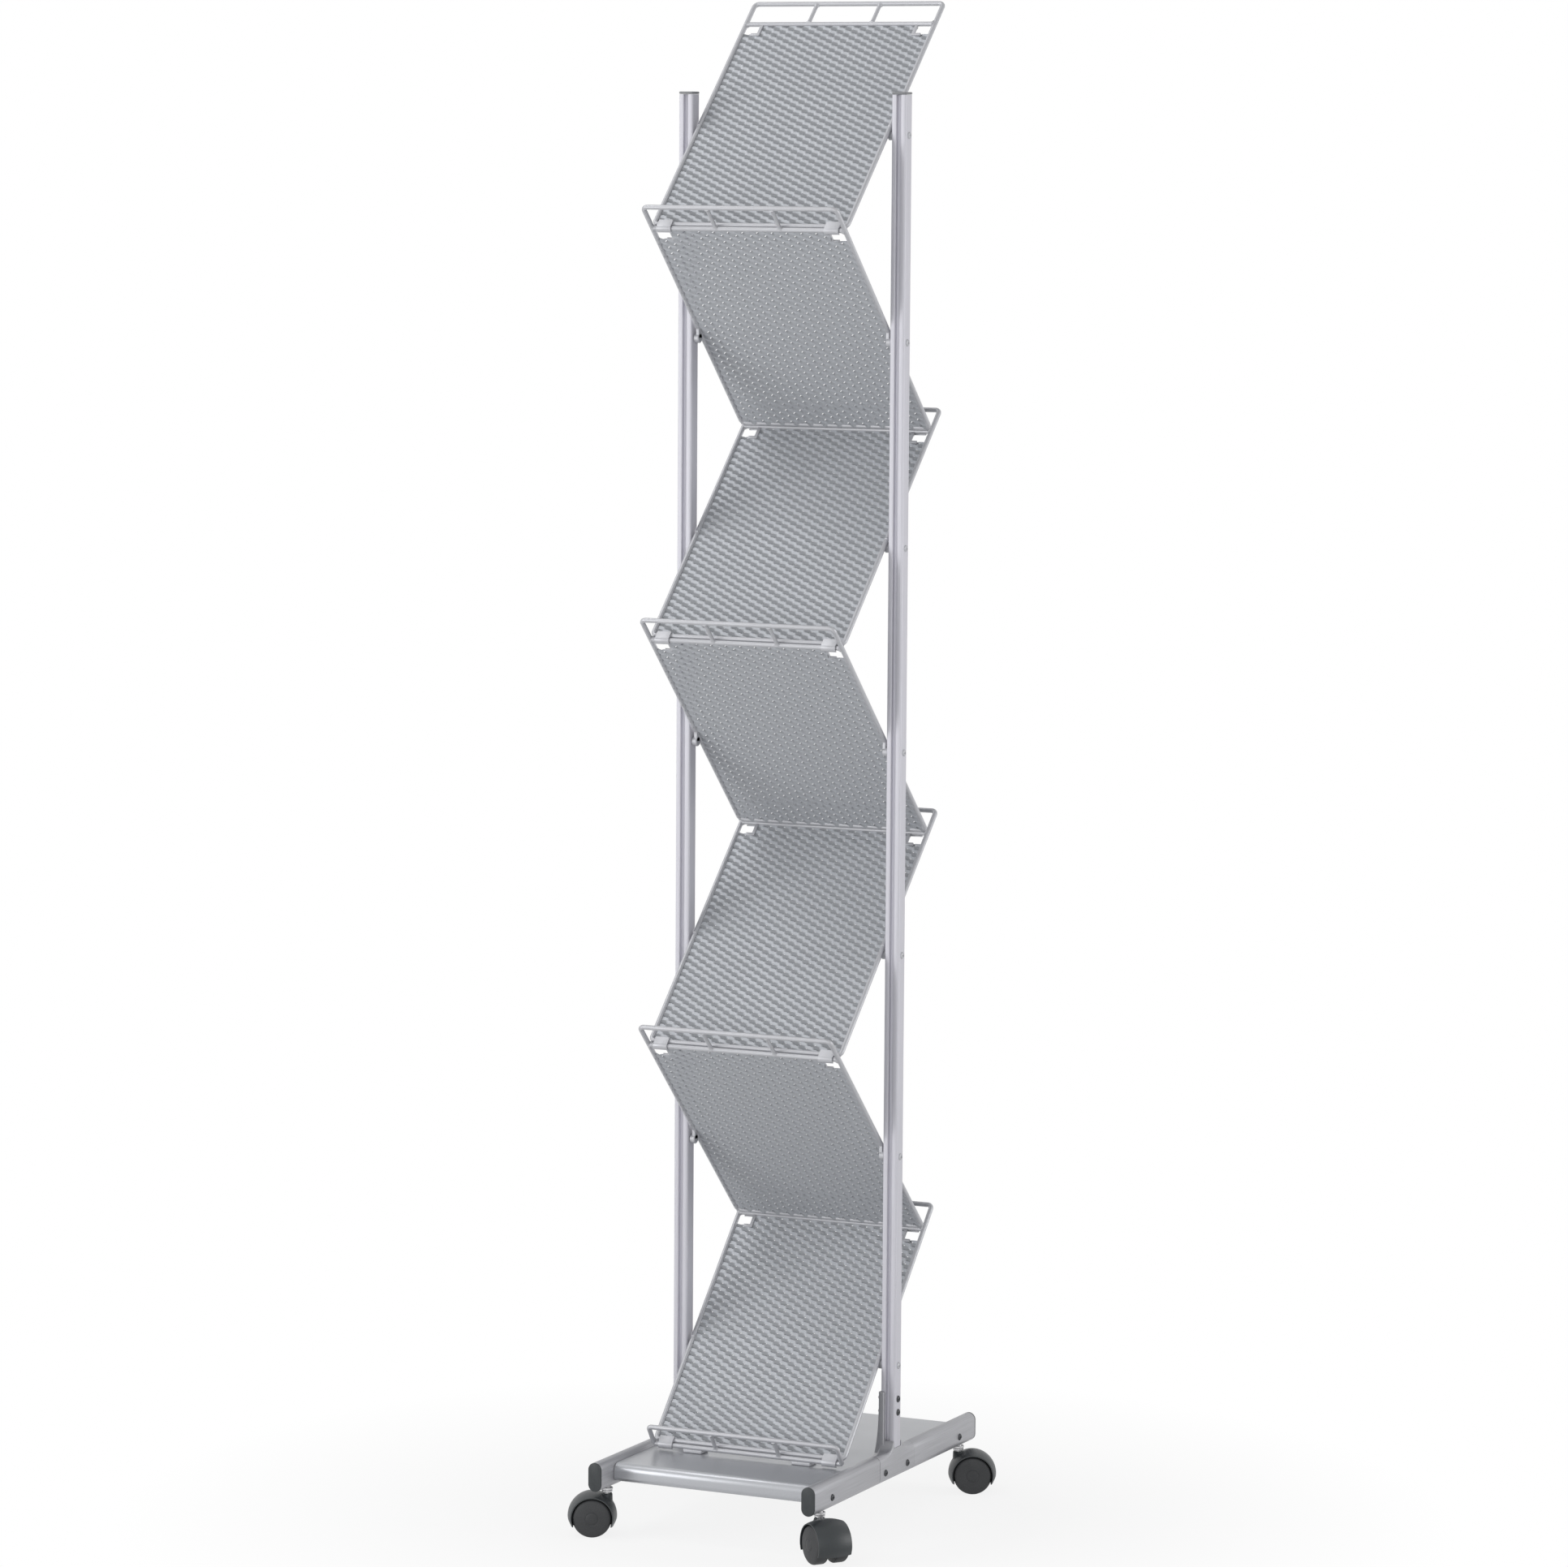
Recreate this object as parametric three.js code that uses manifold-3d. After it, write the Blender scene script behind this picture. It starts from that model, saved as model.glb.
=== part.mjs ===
// Periodical display rack. Seven wire-framed mesh panels zigzag down between two uprights, and every
// joint of the zigzag is a pocket with an open wire lip: front and back take turns.
// Millimetres. Z is up, X is to the right seen from the front, Y is to the back, the floor is at Z = 0.
import * as THREE from 'three';
import { mergeVertices } from 'three/addons/utils/BufferGeometryUtils.js';
import ManifoldModule from 'manifold-3d';

const wasm = await ManifoldModule();
wasm.setup();

// Zigzag
const PANEL_COUNT = 7;
const TOP_JOINT_Z = 1543;
const JOINT_PITCH = 208.6;
const JOINT_DEPTH = 106.5;
const FOOT_JOINT = { y: -91, z: 80.5 };
const FOOT_LIP_TOP = { y: -104.5, z: 100.5 };
const LIP_HEIGHT = 30.5;
const LIP_POST_X = 36;
const ROD_RADIUS = 2.5;
const SIDE_ROD_X = 107.5;
const TOP_CORNER_RADIUS = 9;
const LOW_CORNER_RADIUS = 5;
const END_SETBACK = 5.6;
const SHEET_THICKNESS = 1.2;
const NOTCH_WIDTH = 16;
const NOTCH_HEIGHT = 12;
const OPENING_COLUMNS = 5;
const OPENING_ROWS = 9;
const OPENING_PITCH = 41;
const OPENING_MARGIN = 24;
const OPENING_HALF_WIDTH = 16;
const OPENING_HALF_HEIGHT = 11;
const HOOK_WIDTH = 16;
const HOOK_INNER = 2.9;
const HOOK_OUTER = 4.2;
const LUG_DROP = 9.5;
const LUG_RADIUS = 5;
const LUG_HALF = 1.7;

// Uprights
const UPRIGHT_X = 120;
const UPRIGHT_SIZE = 16;
const UPRIGHT_BOTTOM = 83;
const UPRIGHT_TOP = 1470;
const GROOVE_WIDTH = 6;
const GROOVE_DEPTH = 5;
const SCREW_RADIUS = 1.9;
const SCREW_HOLE = 2.2;
const SCREW_HEAD = 3.6;
const CAP_TOP = 1472.7;

// Base
const RAIL_X = 120.5;
const RAIL_Z = 65;
const RAIL_WIDTH = 15;
const RAIL_HEIGHT = 30;
const RAIL_WALL = 1.6;
const RAIL_END = 200.3;
const FOOT_HALF = 42;
const FILLET_RADIUS = 14;
const FILLET_Y = 24;
const FILLET_Z = 94;
const SLEEVE_TOP = 147;
const SLEEVE_LOW = 76.4;
const SLEEVE_HALF = 10.2;
const PLATE_TOP = 75;
const PLATE_FRONT = 172;
const PLATE_DROP = 19;
const PLATE_GAUGE = 1.6;
const PLATE_HALF_WIDTH = 112.6;

// Casters
const CASTER_Y = 172;
const WHEEL_RADIUS = 20;
const CASTER_TRAIL = 15;
const HOOD_RADIUS = 24.4;
const HOOD_INNER = 20.9;
const HOOD_HALF = 18.6;
const WEB_HALF = 4.8;
const AXLE_RADIUS = 3;
const STEM_RADIUS = 3.5;
const STEM_GAP = 0.09;
const AXLE_GAP = 0.06;
const WHEEL_SIDES = 28;

const GAP = 0.3;

const silver = new THREE.MeshStandardMaterial({ color: 0xa9abb1, metalness: 0.55, roughness: 0.45 });
const aluminium = new THREE.MeshStandardMaterial({ color: 0xc2c3c8, metalness: 0.7, roughness: 0.35 });
const charcoal = new THREE.MeshStandardMaterial({ color: 0x2b2c30, metalness: 0, roughness: 0.55 });
const rubber = new THREE.MeshStandardMaterial({ color: 0x222327, metalness: 0, roughness: 0.75 });
const zinc = new THREE.MeshStandardMaterial({ color: 0x8f9196, metalness: 0.8, roughness: 0.4 });

// Turns a geometry into a closed solid for joining and cutting, with its faces pointing outward.
function solidOf(geometry) {
  const bare = new THREE.BufferGeometry();
  bare.setAttribute('position', geometry.getAttribute('position').clone());
  if (geometry.index) bare.setIndex(geometry.index.clone());
  const welded = mergeVertices(bare, 1e-4);
  const p = welded.getAttribute('position').array;
  const index = Array.from(welded.index.array);
  const kept = [];
  let volume = 0;
  for (let i = 0; i < index.length; i += 3) {
    const [a, b, c] = [index[i], index[i + 1], index[i + 2]];
    if (a === b || b === c || c === a) continue;
    kept.push(a, b, c);
    const [ax, ay, az] = [p[3 * a], p[3 * a + 1], p[3 * a + 2]];
    const [bx, by, bz] = [p[3 * b], p[3 * b + 1], p[3 * b + 2]];
    const [cx, cy, cz] = [p[3 * c], p[3 * c + 1], p[3 * c + 2]];
    volume += ax * (by * cz - bz * cy) + ay * (bz * cx - bx * cz) + az * (bx * cy - by * cx);
  }
  if (volume < 0) {
    for (let i = 0; i < kept.length; i += 3) [kept[i + 1], kept[i + 2]] = [kept[i + 2], kept[i + 1]];
  }
  return new wasm.Manifold(new wasm.Mesh({
    numProp: 3,
    vertProperties: new Float32Array(p),
    triVerts: new Uint32Array(kept),
  }));
}

function join(...solids) {
  return wasm.Manifold.union(solids);
}

function cut(solid, ...tools) {
  return wasm.Manifold.difference([solid, ...tools]);
}

function geometryOf(solid) {
  const mesh = solid.getMesh();
  const count = mesh.numProp;
  const positions = new Float32Array(mesh.numVert * 3);
  for (let i = 0; i < mesh.numVert; i += 1) {
    positions.set(mesh.vertProperties.subarray(i * count, i * count + 3), i * 3);
  }
  const geometry = new THREE.BufferGeometry();
  geometry.setAttribute('position', new THREE.BufferAttribute(positions, 3));
  geometry.setIndex(Array.from(mesh.triVerts));
  geometry.computeVertexNormals();
  return geometry;
}

// A straight bar of round section between two points.
function bar(from, to, radius, sides) {
  const a = new THREE.Vector3(...from);
  const b = new THREE.Vector3(...to);
  const geometry = new THREE.CylinderGeometry(radius, radius, a.distanceTo(b), sides);
  const along = b.clone().sub(a).normalize();
  const turn = new THREE.Quaternion().setFromUnitVectors(new THREE.Vector3(0, 1, 0), along);
  geometry.rotateY(Math.PI / sides);
  geometry.applyQuaternion(turn);
  geometry.translate((a.x + b.x) / 2, (a.y + b.y) / 2, (a.z + b.z) / 2);
  return solidOf(geometry);
}

function block(low, high) {
  const size = high.map((value, i) => value - low[i]);
  const geometry = new THREE.BoxGeometry(...size);
  geometry.translate(...low.map((value, i) => value + size[i] / 2));
  return solidOf(geometry);
}

// An outline in a plane, given by two axes, pushed along a third axis. Holes are outlines inside it.
function prism(outline, axes, origin, from, to, holes = []) {
  const flat = (loop) => loop.map(([u, v]) => new THREE.Vector2(u, v));
  const shape = new THREE.Shape(flat(outline));
  shape.holes = holes.map((hole) => new THREE.Path(flat(hole)));
  const geometry = new THREE.ExtrudeGeometry(shape, { depth: to - from, bevelEnabled: false, steps: 1 });
  geometry.translate(0, 0, from);
  const [u, v, w] = axes.map((axis) => new THREE.Vector3(...axis));
  const matrix = new THREE.Matrix4().makeBasis(u, v, w).setPosition(...origin);
  geometry.applyMatrix4(matrix);
  return solidOf(geometry);
}

function arc(cu, cv, radius, start, end, steps) {
  return Array.from({ length: steps + 1 }, (unused, i) => {
    const angle = THREE.MathUtils.degToRad(start + (end - start) * i / steps);
    return [cu + radius * Math.cos(angle), cv + radius * Math.sin(angle)];
  });
}

function roundedLoop(half, top, low, topRadius, lowRadius) {
  return [
    ...arc(half - topRadius, top + topRadius, topRadius, 0, -90, 4),
    ...arc(-half + topRadius, top + topRadius, topRadius, -90, -180, 4),
    ...arc(-half + lowRadius, low - lowRadius, lowRadius, 180, 90, 3),
    ...arc(half - lowRadius, low - lowRadius, lowRadius, 90, 0, 3),
  ];
}

// A rod bent into a closed flat loop.
function rodLoop(path, basis, radius, sides) {
  const count = path.length;
  const { origin, across, down, up } = basis;
  const positions = [];
  const index = [];
  path.forEach(([u, v], i) => {
    const [pu, pv] = path[(i + count - 1) % count];
    const [nu, nv] = path[(i + 1) % count];
    const before = new THREE.Vector2(u - pu, v - pv).normalize();
    const after = new THREE.Vector2(nu - u, nv - v).normalize();
    const side = new THREE.Vector2(before.x + after.x, before.y + after.y).normalize();
    for (let j = 0; j < sides; j += 1) {
      const angle = 2 * Math.PI * (j + 0.5) / sides;
      const out = radius * Math.cos(angle);
      const lift = radius * Math.sin(angle);
      const point = origin.clone()
        .addScaledVector(across, u + out * side.y)
        .addScaledVector(down, v - out * side.x)
        .addScaledVector(up, lift);
      positions.push(point.x, point.y, point.z);
      const a = i * sides + j;
      const b = i * sides + (j + 1) % sides;
      const c = ((i + 1) % count) * sides + j;
      const d = ((i + 1) % count) * sides + (j + 1) % sides;
      index.push(a, b, d, a, d, c);
    }
  });
  const geometry = new THREE.BufferGeometry();
  geometry.setAttribute('position', new THREE.Float32BufferAttribute(positions, 3));
  geometry.setIndex(index);
  return solidOf(geometry);
}

// A profile of [radius, height] pairs turned about a line. A pair with radius zero is on the line.
function turned(profile, sides, origin, axis, side, phase) {
  const line = new THREE.Vector3(...axis);
  const first = new THREE.Vector3(...side);
  const second = line.clone().cross(first);
  const positions = [];
  const index = [];
  const rows = profile.map(([radius, height]) => {
    const start = positions.length / 3;
    const size = radius === 0 ? 1 : sides;
    for (let j = 0; j < size; j += 1) {
      const angle = phase + 2 * Math.PI * j / sides;
      const point = new THREE.Vector3(...origin)
        .addScaledVector(line, height)
        .addScaledVector(first, radius * Math.cos(angle))
        .addScaledVector(second, radius * Math.sin(angle));
      positions.push(point.x, point.y, point.z);
    }
    return { start, size };
  });
  rows.forEach((row, i) => {
    const next = rows[(i + 1) % rows.length];
    for (let j = 0; j < sides; j += 1) {
      const a = row.start + (row.size === 1 ? 0 : j);
      const b = row.start + (row.size === 1 ? 0 : (j + 1) % sides);
      const c = next.start + (next.size === 1 ? 0 : j);
      const d = next.start + (next.size === 1 ? 0 : (j + 1) % sides);
      if (a !== b) index.push(a, b, d);
      if (c !== d) index.push(a, d, c);
    }
  });
  const geometry = new THREE.BufferGeometry();
  geometry.setAttribute('position', new THREE.Float32BufferAttribute(positions, 3));
  geometry.setIndex(index);
  return solidOf(geometry);
}

const rack = new THREE.Group();
rack.name = 'periodical_display_rack';

function add(name, solid, material) {
  const mesh = new THREE.Mesh(geometryOf(solid), material);
  mesh.name = name;
  rack.add(mesh);
}

// The joints of the zigzag, from the top cross rod to the lip on the base plate.
const joints = Array.from({ length: PANEL_COUNT }, (unused, k) => ({
  y: k % 2 === 0 ? JOINT_DEPTH : -JOINT_DEPTH,
  z: TOP_JOINT_Z - k * JOINT_PITCH,
}));
joints.push(FOOT_JOINT);

function slopeBasis(from, to) {
  const down = new THREE.Vector3(0, to.y - from.y, to.z - from.z).normalize();
  const up = new THREE.Vector3(0, -down.z, down.y);
  if (up.z < 0) up.negate();
  return { origin: new THREE.Vector3(0, from.y, from.z), across: new THREE.Vector3(1, 0, 0), down, up };
}

function onSlope(basis, u, v, b) {
  return basis.origin.clone()
    .addScaledVector(basis.across, u)
    .addScaledVector(basis.down, v)
    .addScaledVector(basis.up, b)
    .toArray();
}

// The hook is a strip on the lower corner that lies over the cross rod of the next panel.
const hookOutline = [
  [-8, 0.8],
  [-3.4, 0.8],
  ...arc(0, 0, HOOK_INNER, 158, -35, 8),
  ...arc(0, 0, HOOK_OUTER, -35, 90, 6),
  [-8, HOOK_OUTER],
];

function lugHeight(k) {
  const [a, b] = [joints[k], joints[k + 1]];
  return a.z + (b.z - a.z) * (0 - a.y) / (b.y - a.y);
}

function panelFrame(k) {
  const [from, to] = [joints[k], joints[k + 1]];
  const basis = slopeBasis(from, to);
  const length = Math.hypot(to.y - from.y, to.z - from.z);
  const low = length - END_SETBACK;
  const loop = roundedLoop(SIDE_ROD_X, -LIP_HEIGHT, low, TOP_CORNER_RADIUS, LOW_CORNER_RADIUS);
  const pieces = [
    rodLoop(loop, basis, ROD_RADIUS, 8),
    bar(onSlope(basis, -SIDE_ROD_X, 0, 0), onSlope(basis, SIDE_ROD_X, 0, 0), ROD_RADIUS, 8),
  ];
  for (const side of [-1, 1]) {
    const post = side * LIP_POST_X;
    pieces.push(bar(onSlope(basis, post, -LIP_HEIGHT, 0), onSlope(basis, post, 0, 0), ROD_RADIUS * 0.8, 8));
    const axes = [basis.down.toArray(), basis.up.toArray(), [1, 0, 0]];
    const middle = side * (SIDE_ROD_X - 14);
    const start = onSlope(basis, middle, length, 0);
    pieces.push(prism(hookOutline, axes, start, -HOOK_WIDTH / 2, HOOK_WIDTH / 2));
    const z = lugHeight(k);
    const x = side * SIDE_ROD_X;
    pieces.push(block([x - LUG_HALF, -3.5, z - LUG_DROP], [x + LUG_HALF, 3.5, z]));
    const end = side * (UPRIGHT_X - UPRIGHT_SIZE / 2 - GAP);
    pieces.push(bar([x - side * LUG_HALF, 0, z - LUG_DROP], [end, 0, z - LUG_DROP], LUG_RADIUS, 10));
  }
  const frame = join(...pieces);
  const z = lugHeight(k) - LUG_DROP;
  const holes = [-1, 1].map((side) => bar([side * 100, 0, z], [side * 118, 0, z], SCREW_HOLE, 8));
  return cut(frame, ...holes);
}

function diamond(u, v) {
  const [w, h] = [OPENING_HALF_WIDTH, OPENING_HALF_HEIGHT];
  return [[u - w, v], [u, v - h], [u + w, v], [u, v + h]];
}

// Staggered diamonds between two heights of a sheet, a coarse form of its expanded metal.
function diamondGrid(top, low) {
  const first = top + OPENING_MARGIN;
  const step = (low - top - 2 * OPENING_MARGIN) / (OPENING_ROWS - 1);
  const holes = [];
  for (let row = 0; row < OPENING_ROWS; row += 1) {
    const count = OPENING_COLUMNS - row % 2;
    for (let column = 0; column < count; column += 1) {
      holes.push(diamond(OPENING_PITCH * (column - (count - 1) / 2), first + row * step));
    }
  }
  return holes;
}

function meshSheet(k) {
  const [from, to] = [joints[k], joints[k + 1]];
  const basis = slopeBasis(from, to);
  const length = Math.hypot(to.y - from.y, to.z - from.z);
  const half = SIDE_ROD_X - ROD_RADIUS - GAP;
  const top = ROD_RADIUS + GAP;
  const low = length - END_SETBACK - ROD_RADIUS - GAP;
  const right = [
    [half - NOTCH_WIDTH, top],
    [half - NOTCH_WIDTH, top + NOTCH_HEIGHT],
    [half, top + NOTCH_HEIGHT],
    [half, low - 3],
    [half - 3, low],
  ];
  const left = right.map(([u, v]) => [-u, v]).reverse();
  const axes = [[1, 0, 0], basis.down.toArray(), basis.up.toArray()];
  const origin = basis.origin.toArray();
  const halfGauge = SHEET_THICKNESS / 2;
  return prism([...right, ...left], axes, origin, -halfGauge, halfGauge, diamondGrid(top, low));
}

for (let k = 0; k < PANEL_COUNT; k += 1) {
  add(`panel_frame_${k + 1}`, panelFrame(k), silver);
  add(`mesh_sheet_${k + 1}`, meshSheet(k), silver);
}

// The foot of the lowest panel hooks over a short wire lip of its own, welded on two tabs.
function footLip() {
  const basis = slopeBasis(FOOT_LIP_TOP, FOOT_JOINT);
  const height = Math.hypot(FOOT_LIP_TOP.y - FOOT_JOINT.y, FOOT_LIP_TOP.z - FOOT_JOINT.z);
  const pieces = [rodLoop(roundedLoop(SIDE_ROD_X, 0, height, 8, 4), basis, ROD_RADIUS, 8)];
  for (const side of [-1, 1]) {
    const post = side * LIP_POST_X;
    pieces.push(bar(onSlope(basis, post, 0, 0), onSlope(basis, post, height, 0), ROD_RADIUS * 0.8, 8));
    const x = side * 62;
    const { y, z } = FOOT_JOINT;
    pieces.push(block([x - 11, y - 4, PLATE_TOP + GAP], [x + 11, y + 13, z - ROD_RADIUS + 0.7]));
  }
  return join(...pieces);
}
add('foot_lip', footLip(), silver);

function roundedSquare(cx, cy, size, radius) {
  const h = size / 2 - radius;
  return [
    ...arc(cx + h, cy + h, radius, 0, 90, 3),
    ...arc(cx - h, cy + h, radius, 90, 180, 3),
    ...arc(cx - h, cy - h, radius, 180, 270, 3),
    ...arc(cx + h, cy - h, radius, 270, 360, 3),
  ];
}

const plan = [[1, 0, 0], [0, 1, 0], [0, 0, 1]];

function upright(side) {
  const x = side * UPRIGHT_X;
  const half = UPRIGHT_SIZE / 2;
  const outline = roundedSquare(x, 0, UPRIGHT_SIZE, 2.2);
  const column = prism(outline, plan, [0, 0, 0], UPRIGHT_BOTTOM, UPRIGHT_TOP);
  const tools = [];
  for (const face of [-1, 1]) {
    const [near, far] = [face * (half - GROOVE_DEPTH), face * (half + 2)];
    tools.push(block(
      [x - GROOVE_WIDTH / 2, Math.min(near, far), UPRIGHT_BOTTOM - 1],
      [x + GROOVE_WIDTH / 2, Math.max(near, far), UPRIGHT_TOP + 1],
    ));
  }
  for (let k = 0; k < PANEL_COUNT; k += 1) {
    const z = lugHeight(k) - LUG_DROP;
    tools.push(bar([x - 12, 0, z], [x + 12, 0, z], SCREW_HOLE, 8));
  }
  return cut(column, ...tools);
}

function uprightCap(side) {
  const x = side * UPRIGHT_X;
  const outline = roundedSquare(x, 0, UPRIGHT_SIZE + 0.6, 2.4);
  const lid = prism(outline, plan, [0, 0, 0], UPRIGHT_TOP + GAP, CAP_TOP);
  const tongues = [-1, 1].map((face) => block(
    [x - 2.6, Math.min(face * 3.5, face * 7.6), UPRIGHT_TOP - 10],
    [x + 2.6, Math.max(face * 3.5, face * 7.6), UPRIGHT_TOP + 1],
  ));
  return join(lid, ...tongues);
}

function panelScrew(side, k) {
  const z = lugHeight(k) - LUG_DROP;
  const seat = UPRIGHT_X + UPRIGHT_SIZE / 2 + 0.15;
  const shank = [[0, SIDE_ROD_X - 1], [SCREW_RADIUS, SIDE_ROD_X - 1], [SCREW_RADIUS, seat]];
  const head = [[SCREW_HEAD, seat], [SCREW_HEAD - 0.4, seat + 1.4], [1.6, seat + 2], [0, seat + 2]];
  const profile = [...shank, ...head];
  return turned(profile, 8, [0, 0, z], [side, 0, 0], [0, 0, 1], 0);
}

// Flat-oval outline in X and Z, centred on a rail.
function flatOval(x, width, height) {
  const radius = width / 2;
  const lift = height / 2 - radius;
  return [
    ...arc(x, RAIL_Z + lift, radius, 0, 180, 10),
    ...arc(x, RAIL_Z - lift, radius, 180, 360, 10),
  ];
}

const across = [[1, 0, 0], [0, 0, 1], [0, 1, 0]];
const PLUG_WIDTH = RAIL_WIDTH - 2 * RAIL_WALL - 2 * GAP;
const PLUG_HEIGHT = RAIL_HEIGHT - 2 * RAIL_WALL - 2 * GAP;

function ovalBar(x, width, height, end, from, to) {
  const [low, high] = [Math.min(end * from, end * to), Math.max(end * from, end * to)];
  return prism(flatOval(x, width, height), across, [0, 0, 0], low, high);
}

function rail(side, end) {
  const x = side * RAIL_X;
  const outer = ovalBar(x, RAIL_WIDTH, RAIL_HEIGHT, end, FOOT_HALF + GAP, RAIL_END - 2 - GAP);
  const width = RAIL_WIDTH - 2 * RAIL_WALL;
  const height = RAIL_HEIGHT - 2 * RAIL_WALL;
  const inner = ovalBar(x, width, height, end, FOOT_HALF - 5, RAIL_END + 5);
  const y = end * CASTER_Y;
  const stemHole = bar([x, y, 44], [x, y, RAIL_Z], STEM_RADIUS + 0.8, 20);
  return cut(outer, inner, stemHole);
}

// The end cap closes the rail, and its long plug holds the stem of the caster.
function railCap(side, end) {
  const x = side * RAIL_X;
  const lid = ovalBar(x, RAIL_WIDTH, RAIL_HEIGHT, end, RAIL_END - 2, RAIL_END);
  const plug = ovalBar(x, PLUG_WIDTH, PLUG_HEIGHT, end, 150, RAIL_END - 1);
  const y = end * CASTER_Y;
  return cut(join(lid, plug), bar([x, y, 44], [x, y, 74], STEM_RADIUS + GAP, 20));
}

// The foot joins the front rail, the rear rail and the upright.
function footBracket(side) {
  const x = side * RAIL_X;
  const inside = side * (RAIL_X - RAIL_WIDTH / 2 - 0.3);
  const outside = side * (RAIL_X + RAIL_WIDTH / 2);
  const body = ovalBar(x, RAIL_WIDTH, RAIL_HEIGHT, 1, -FOOT_HALF, FOOT_HALF);
  const spigots = ovalBar(x, PLUG_WIDTH, PLUG_HEIGHT, 1, -FOOT_HALF - 22, FOOT_HALF + 22);
  const flare = [
    [-FILLET_Y, RAIL_Z],
    ...arc(-FILLET_Y, FILLET_Z, FILLET_RADIUS, -90, 0, 6),
    ...arc(FILLET_Y, FILLET_Z, FILLET_RADIUS, 180, 270, 6),
    [FILLET_Y, RAIL_Z],
  ];
  const wall = [[0, 1, 0], [0, 0, 1], [1, 0, 0]];
  const saddle = prism(flare, wall, [0, 0, 0], Math.min(inside, outside), Math.max(inside, outside));
  const outerEdge = [[112.9, SLEEVE_LOW], [112.9, 68], [116.4, 68], [116.4, SLEEVE_TOP]];
  const innerEdge = [[110.6, SLEEVE_TOP], [109.2, 145], [108.6, 118], [107, 98], [104.5, 86]];
  const blade = [...outerEdge, ...innerEdge, [101.5, SLEEVE_LOW]].map(([u, v]) => [side * u, v]);
  const sleeve = prism(blade, across, [0, 0, 0], -SLEEVE_HALF, SLEEVE_HALF);
  const half = UPRIGHT_SIZE / 2 + GAP;
  const socket = block(
    [side * UPRIGHT_X - half, -half, UPRIGHT_BOTTOM - GAP],
    [side * UPRIGHT_X + half, half, UPRIGHT_TOP],
  );
  return cut(join(body, spigots, saddle, sleeve), socket);
}

function basePlate() {
  const radius = 8;
  const edge = PLATE_FRONT;
  const skin = (inset) => [
    [edge - inset, PLATE_TOP - PLATE_DROP],
    ...arc(edge - radius, PLATE_TOP - radius, radius - inset, 0, 90, 6),
    ...arc(-edge + radius, PLATE_TOP - radius, radius - inset, 90, 180, 6),
    [-edge + inset, PLATE_TOP - PLATE_DROP],
  ];
  const outline = [...skin(0), ...skin(PLATE_GAUGE).reverse()];
  const axes = [[0, 1, 0], [0, 0, 1], [1, 0, 0]];
  return prism(outline, axes, [0, 0, 0], -PLATE_HALF_WIDTH, PLATE_HALF_WIDTH);
}
add('base_plate', basePlate(), silver);

for (const [word, side] of [['left', -1], ['right', 1]]) {
  add(`upright_${word}`, upright(side), aluminium);
  add(`upright_cap_${word}`, uprightCap(side), charcoal);
  add(`foot_bracket_${word}`, footBracket(side), aluminium);
  for (const [place, end] of [['front', -1], ['rear', 1]]) {
    add(`rail_${place}_${word}`, rail(side, end), aluminium);
    add(`rail_cap_${place}_${word}`, railCap(side, end), charcoal);
  }
  for (let k = 0; k < PANEL_COUNT; k += 1) add(`panel_screw_${k + 1}_${word}`, panelScrew(side, k), zinc);
}

// Twin-wheel casters. The trail angle says where the wheels lie from the stem, from +X towards +Y.
const casters = [
  { name: 'front_left', side: -1, end: -1, trail: 205.6 },
  { name: 'front_right', side: 1, end: -1, trail: -38.4 },
  { name: 'rear_left', side: -1, end: 1, trail: 141.6 },
  { name: 'rear_right', side: 1, end: 1, trail: 25.6 },
];

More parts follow.
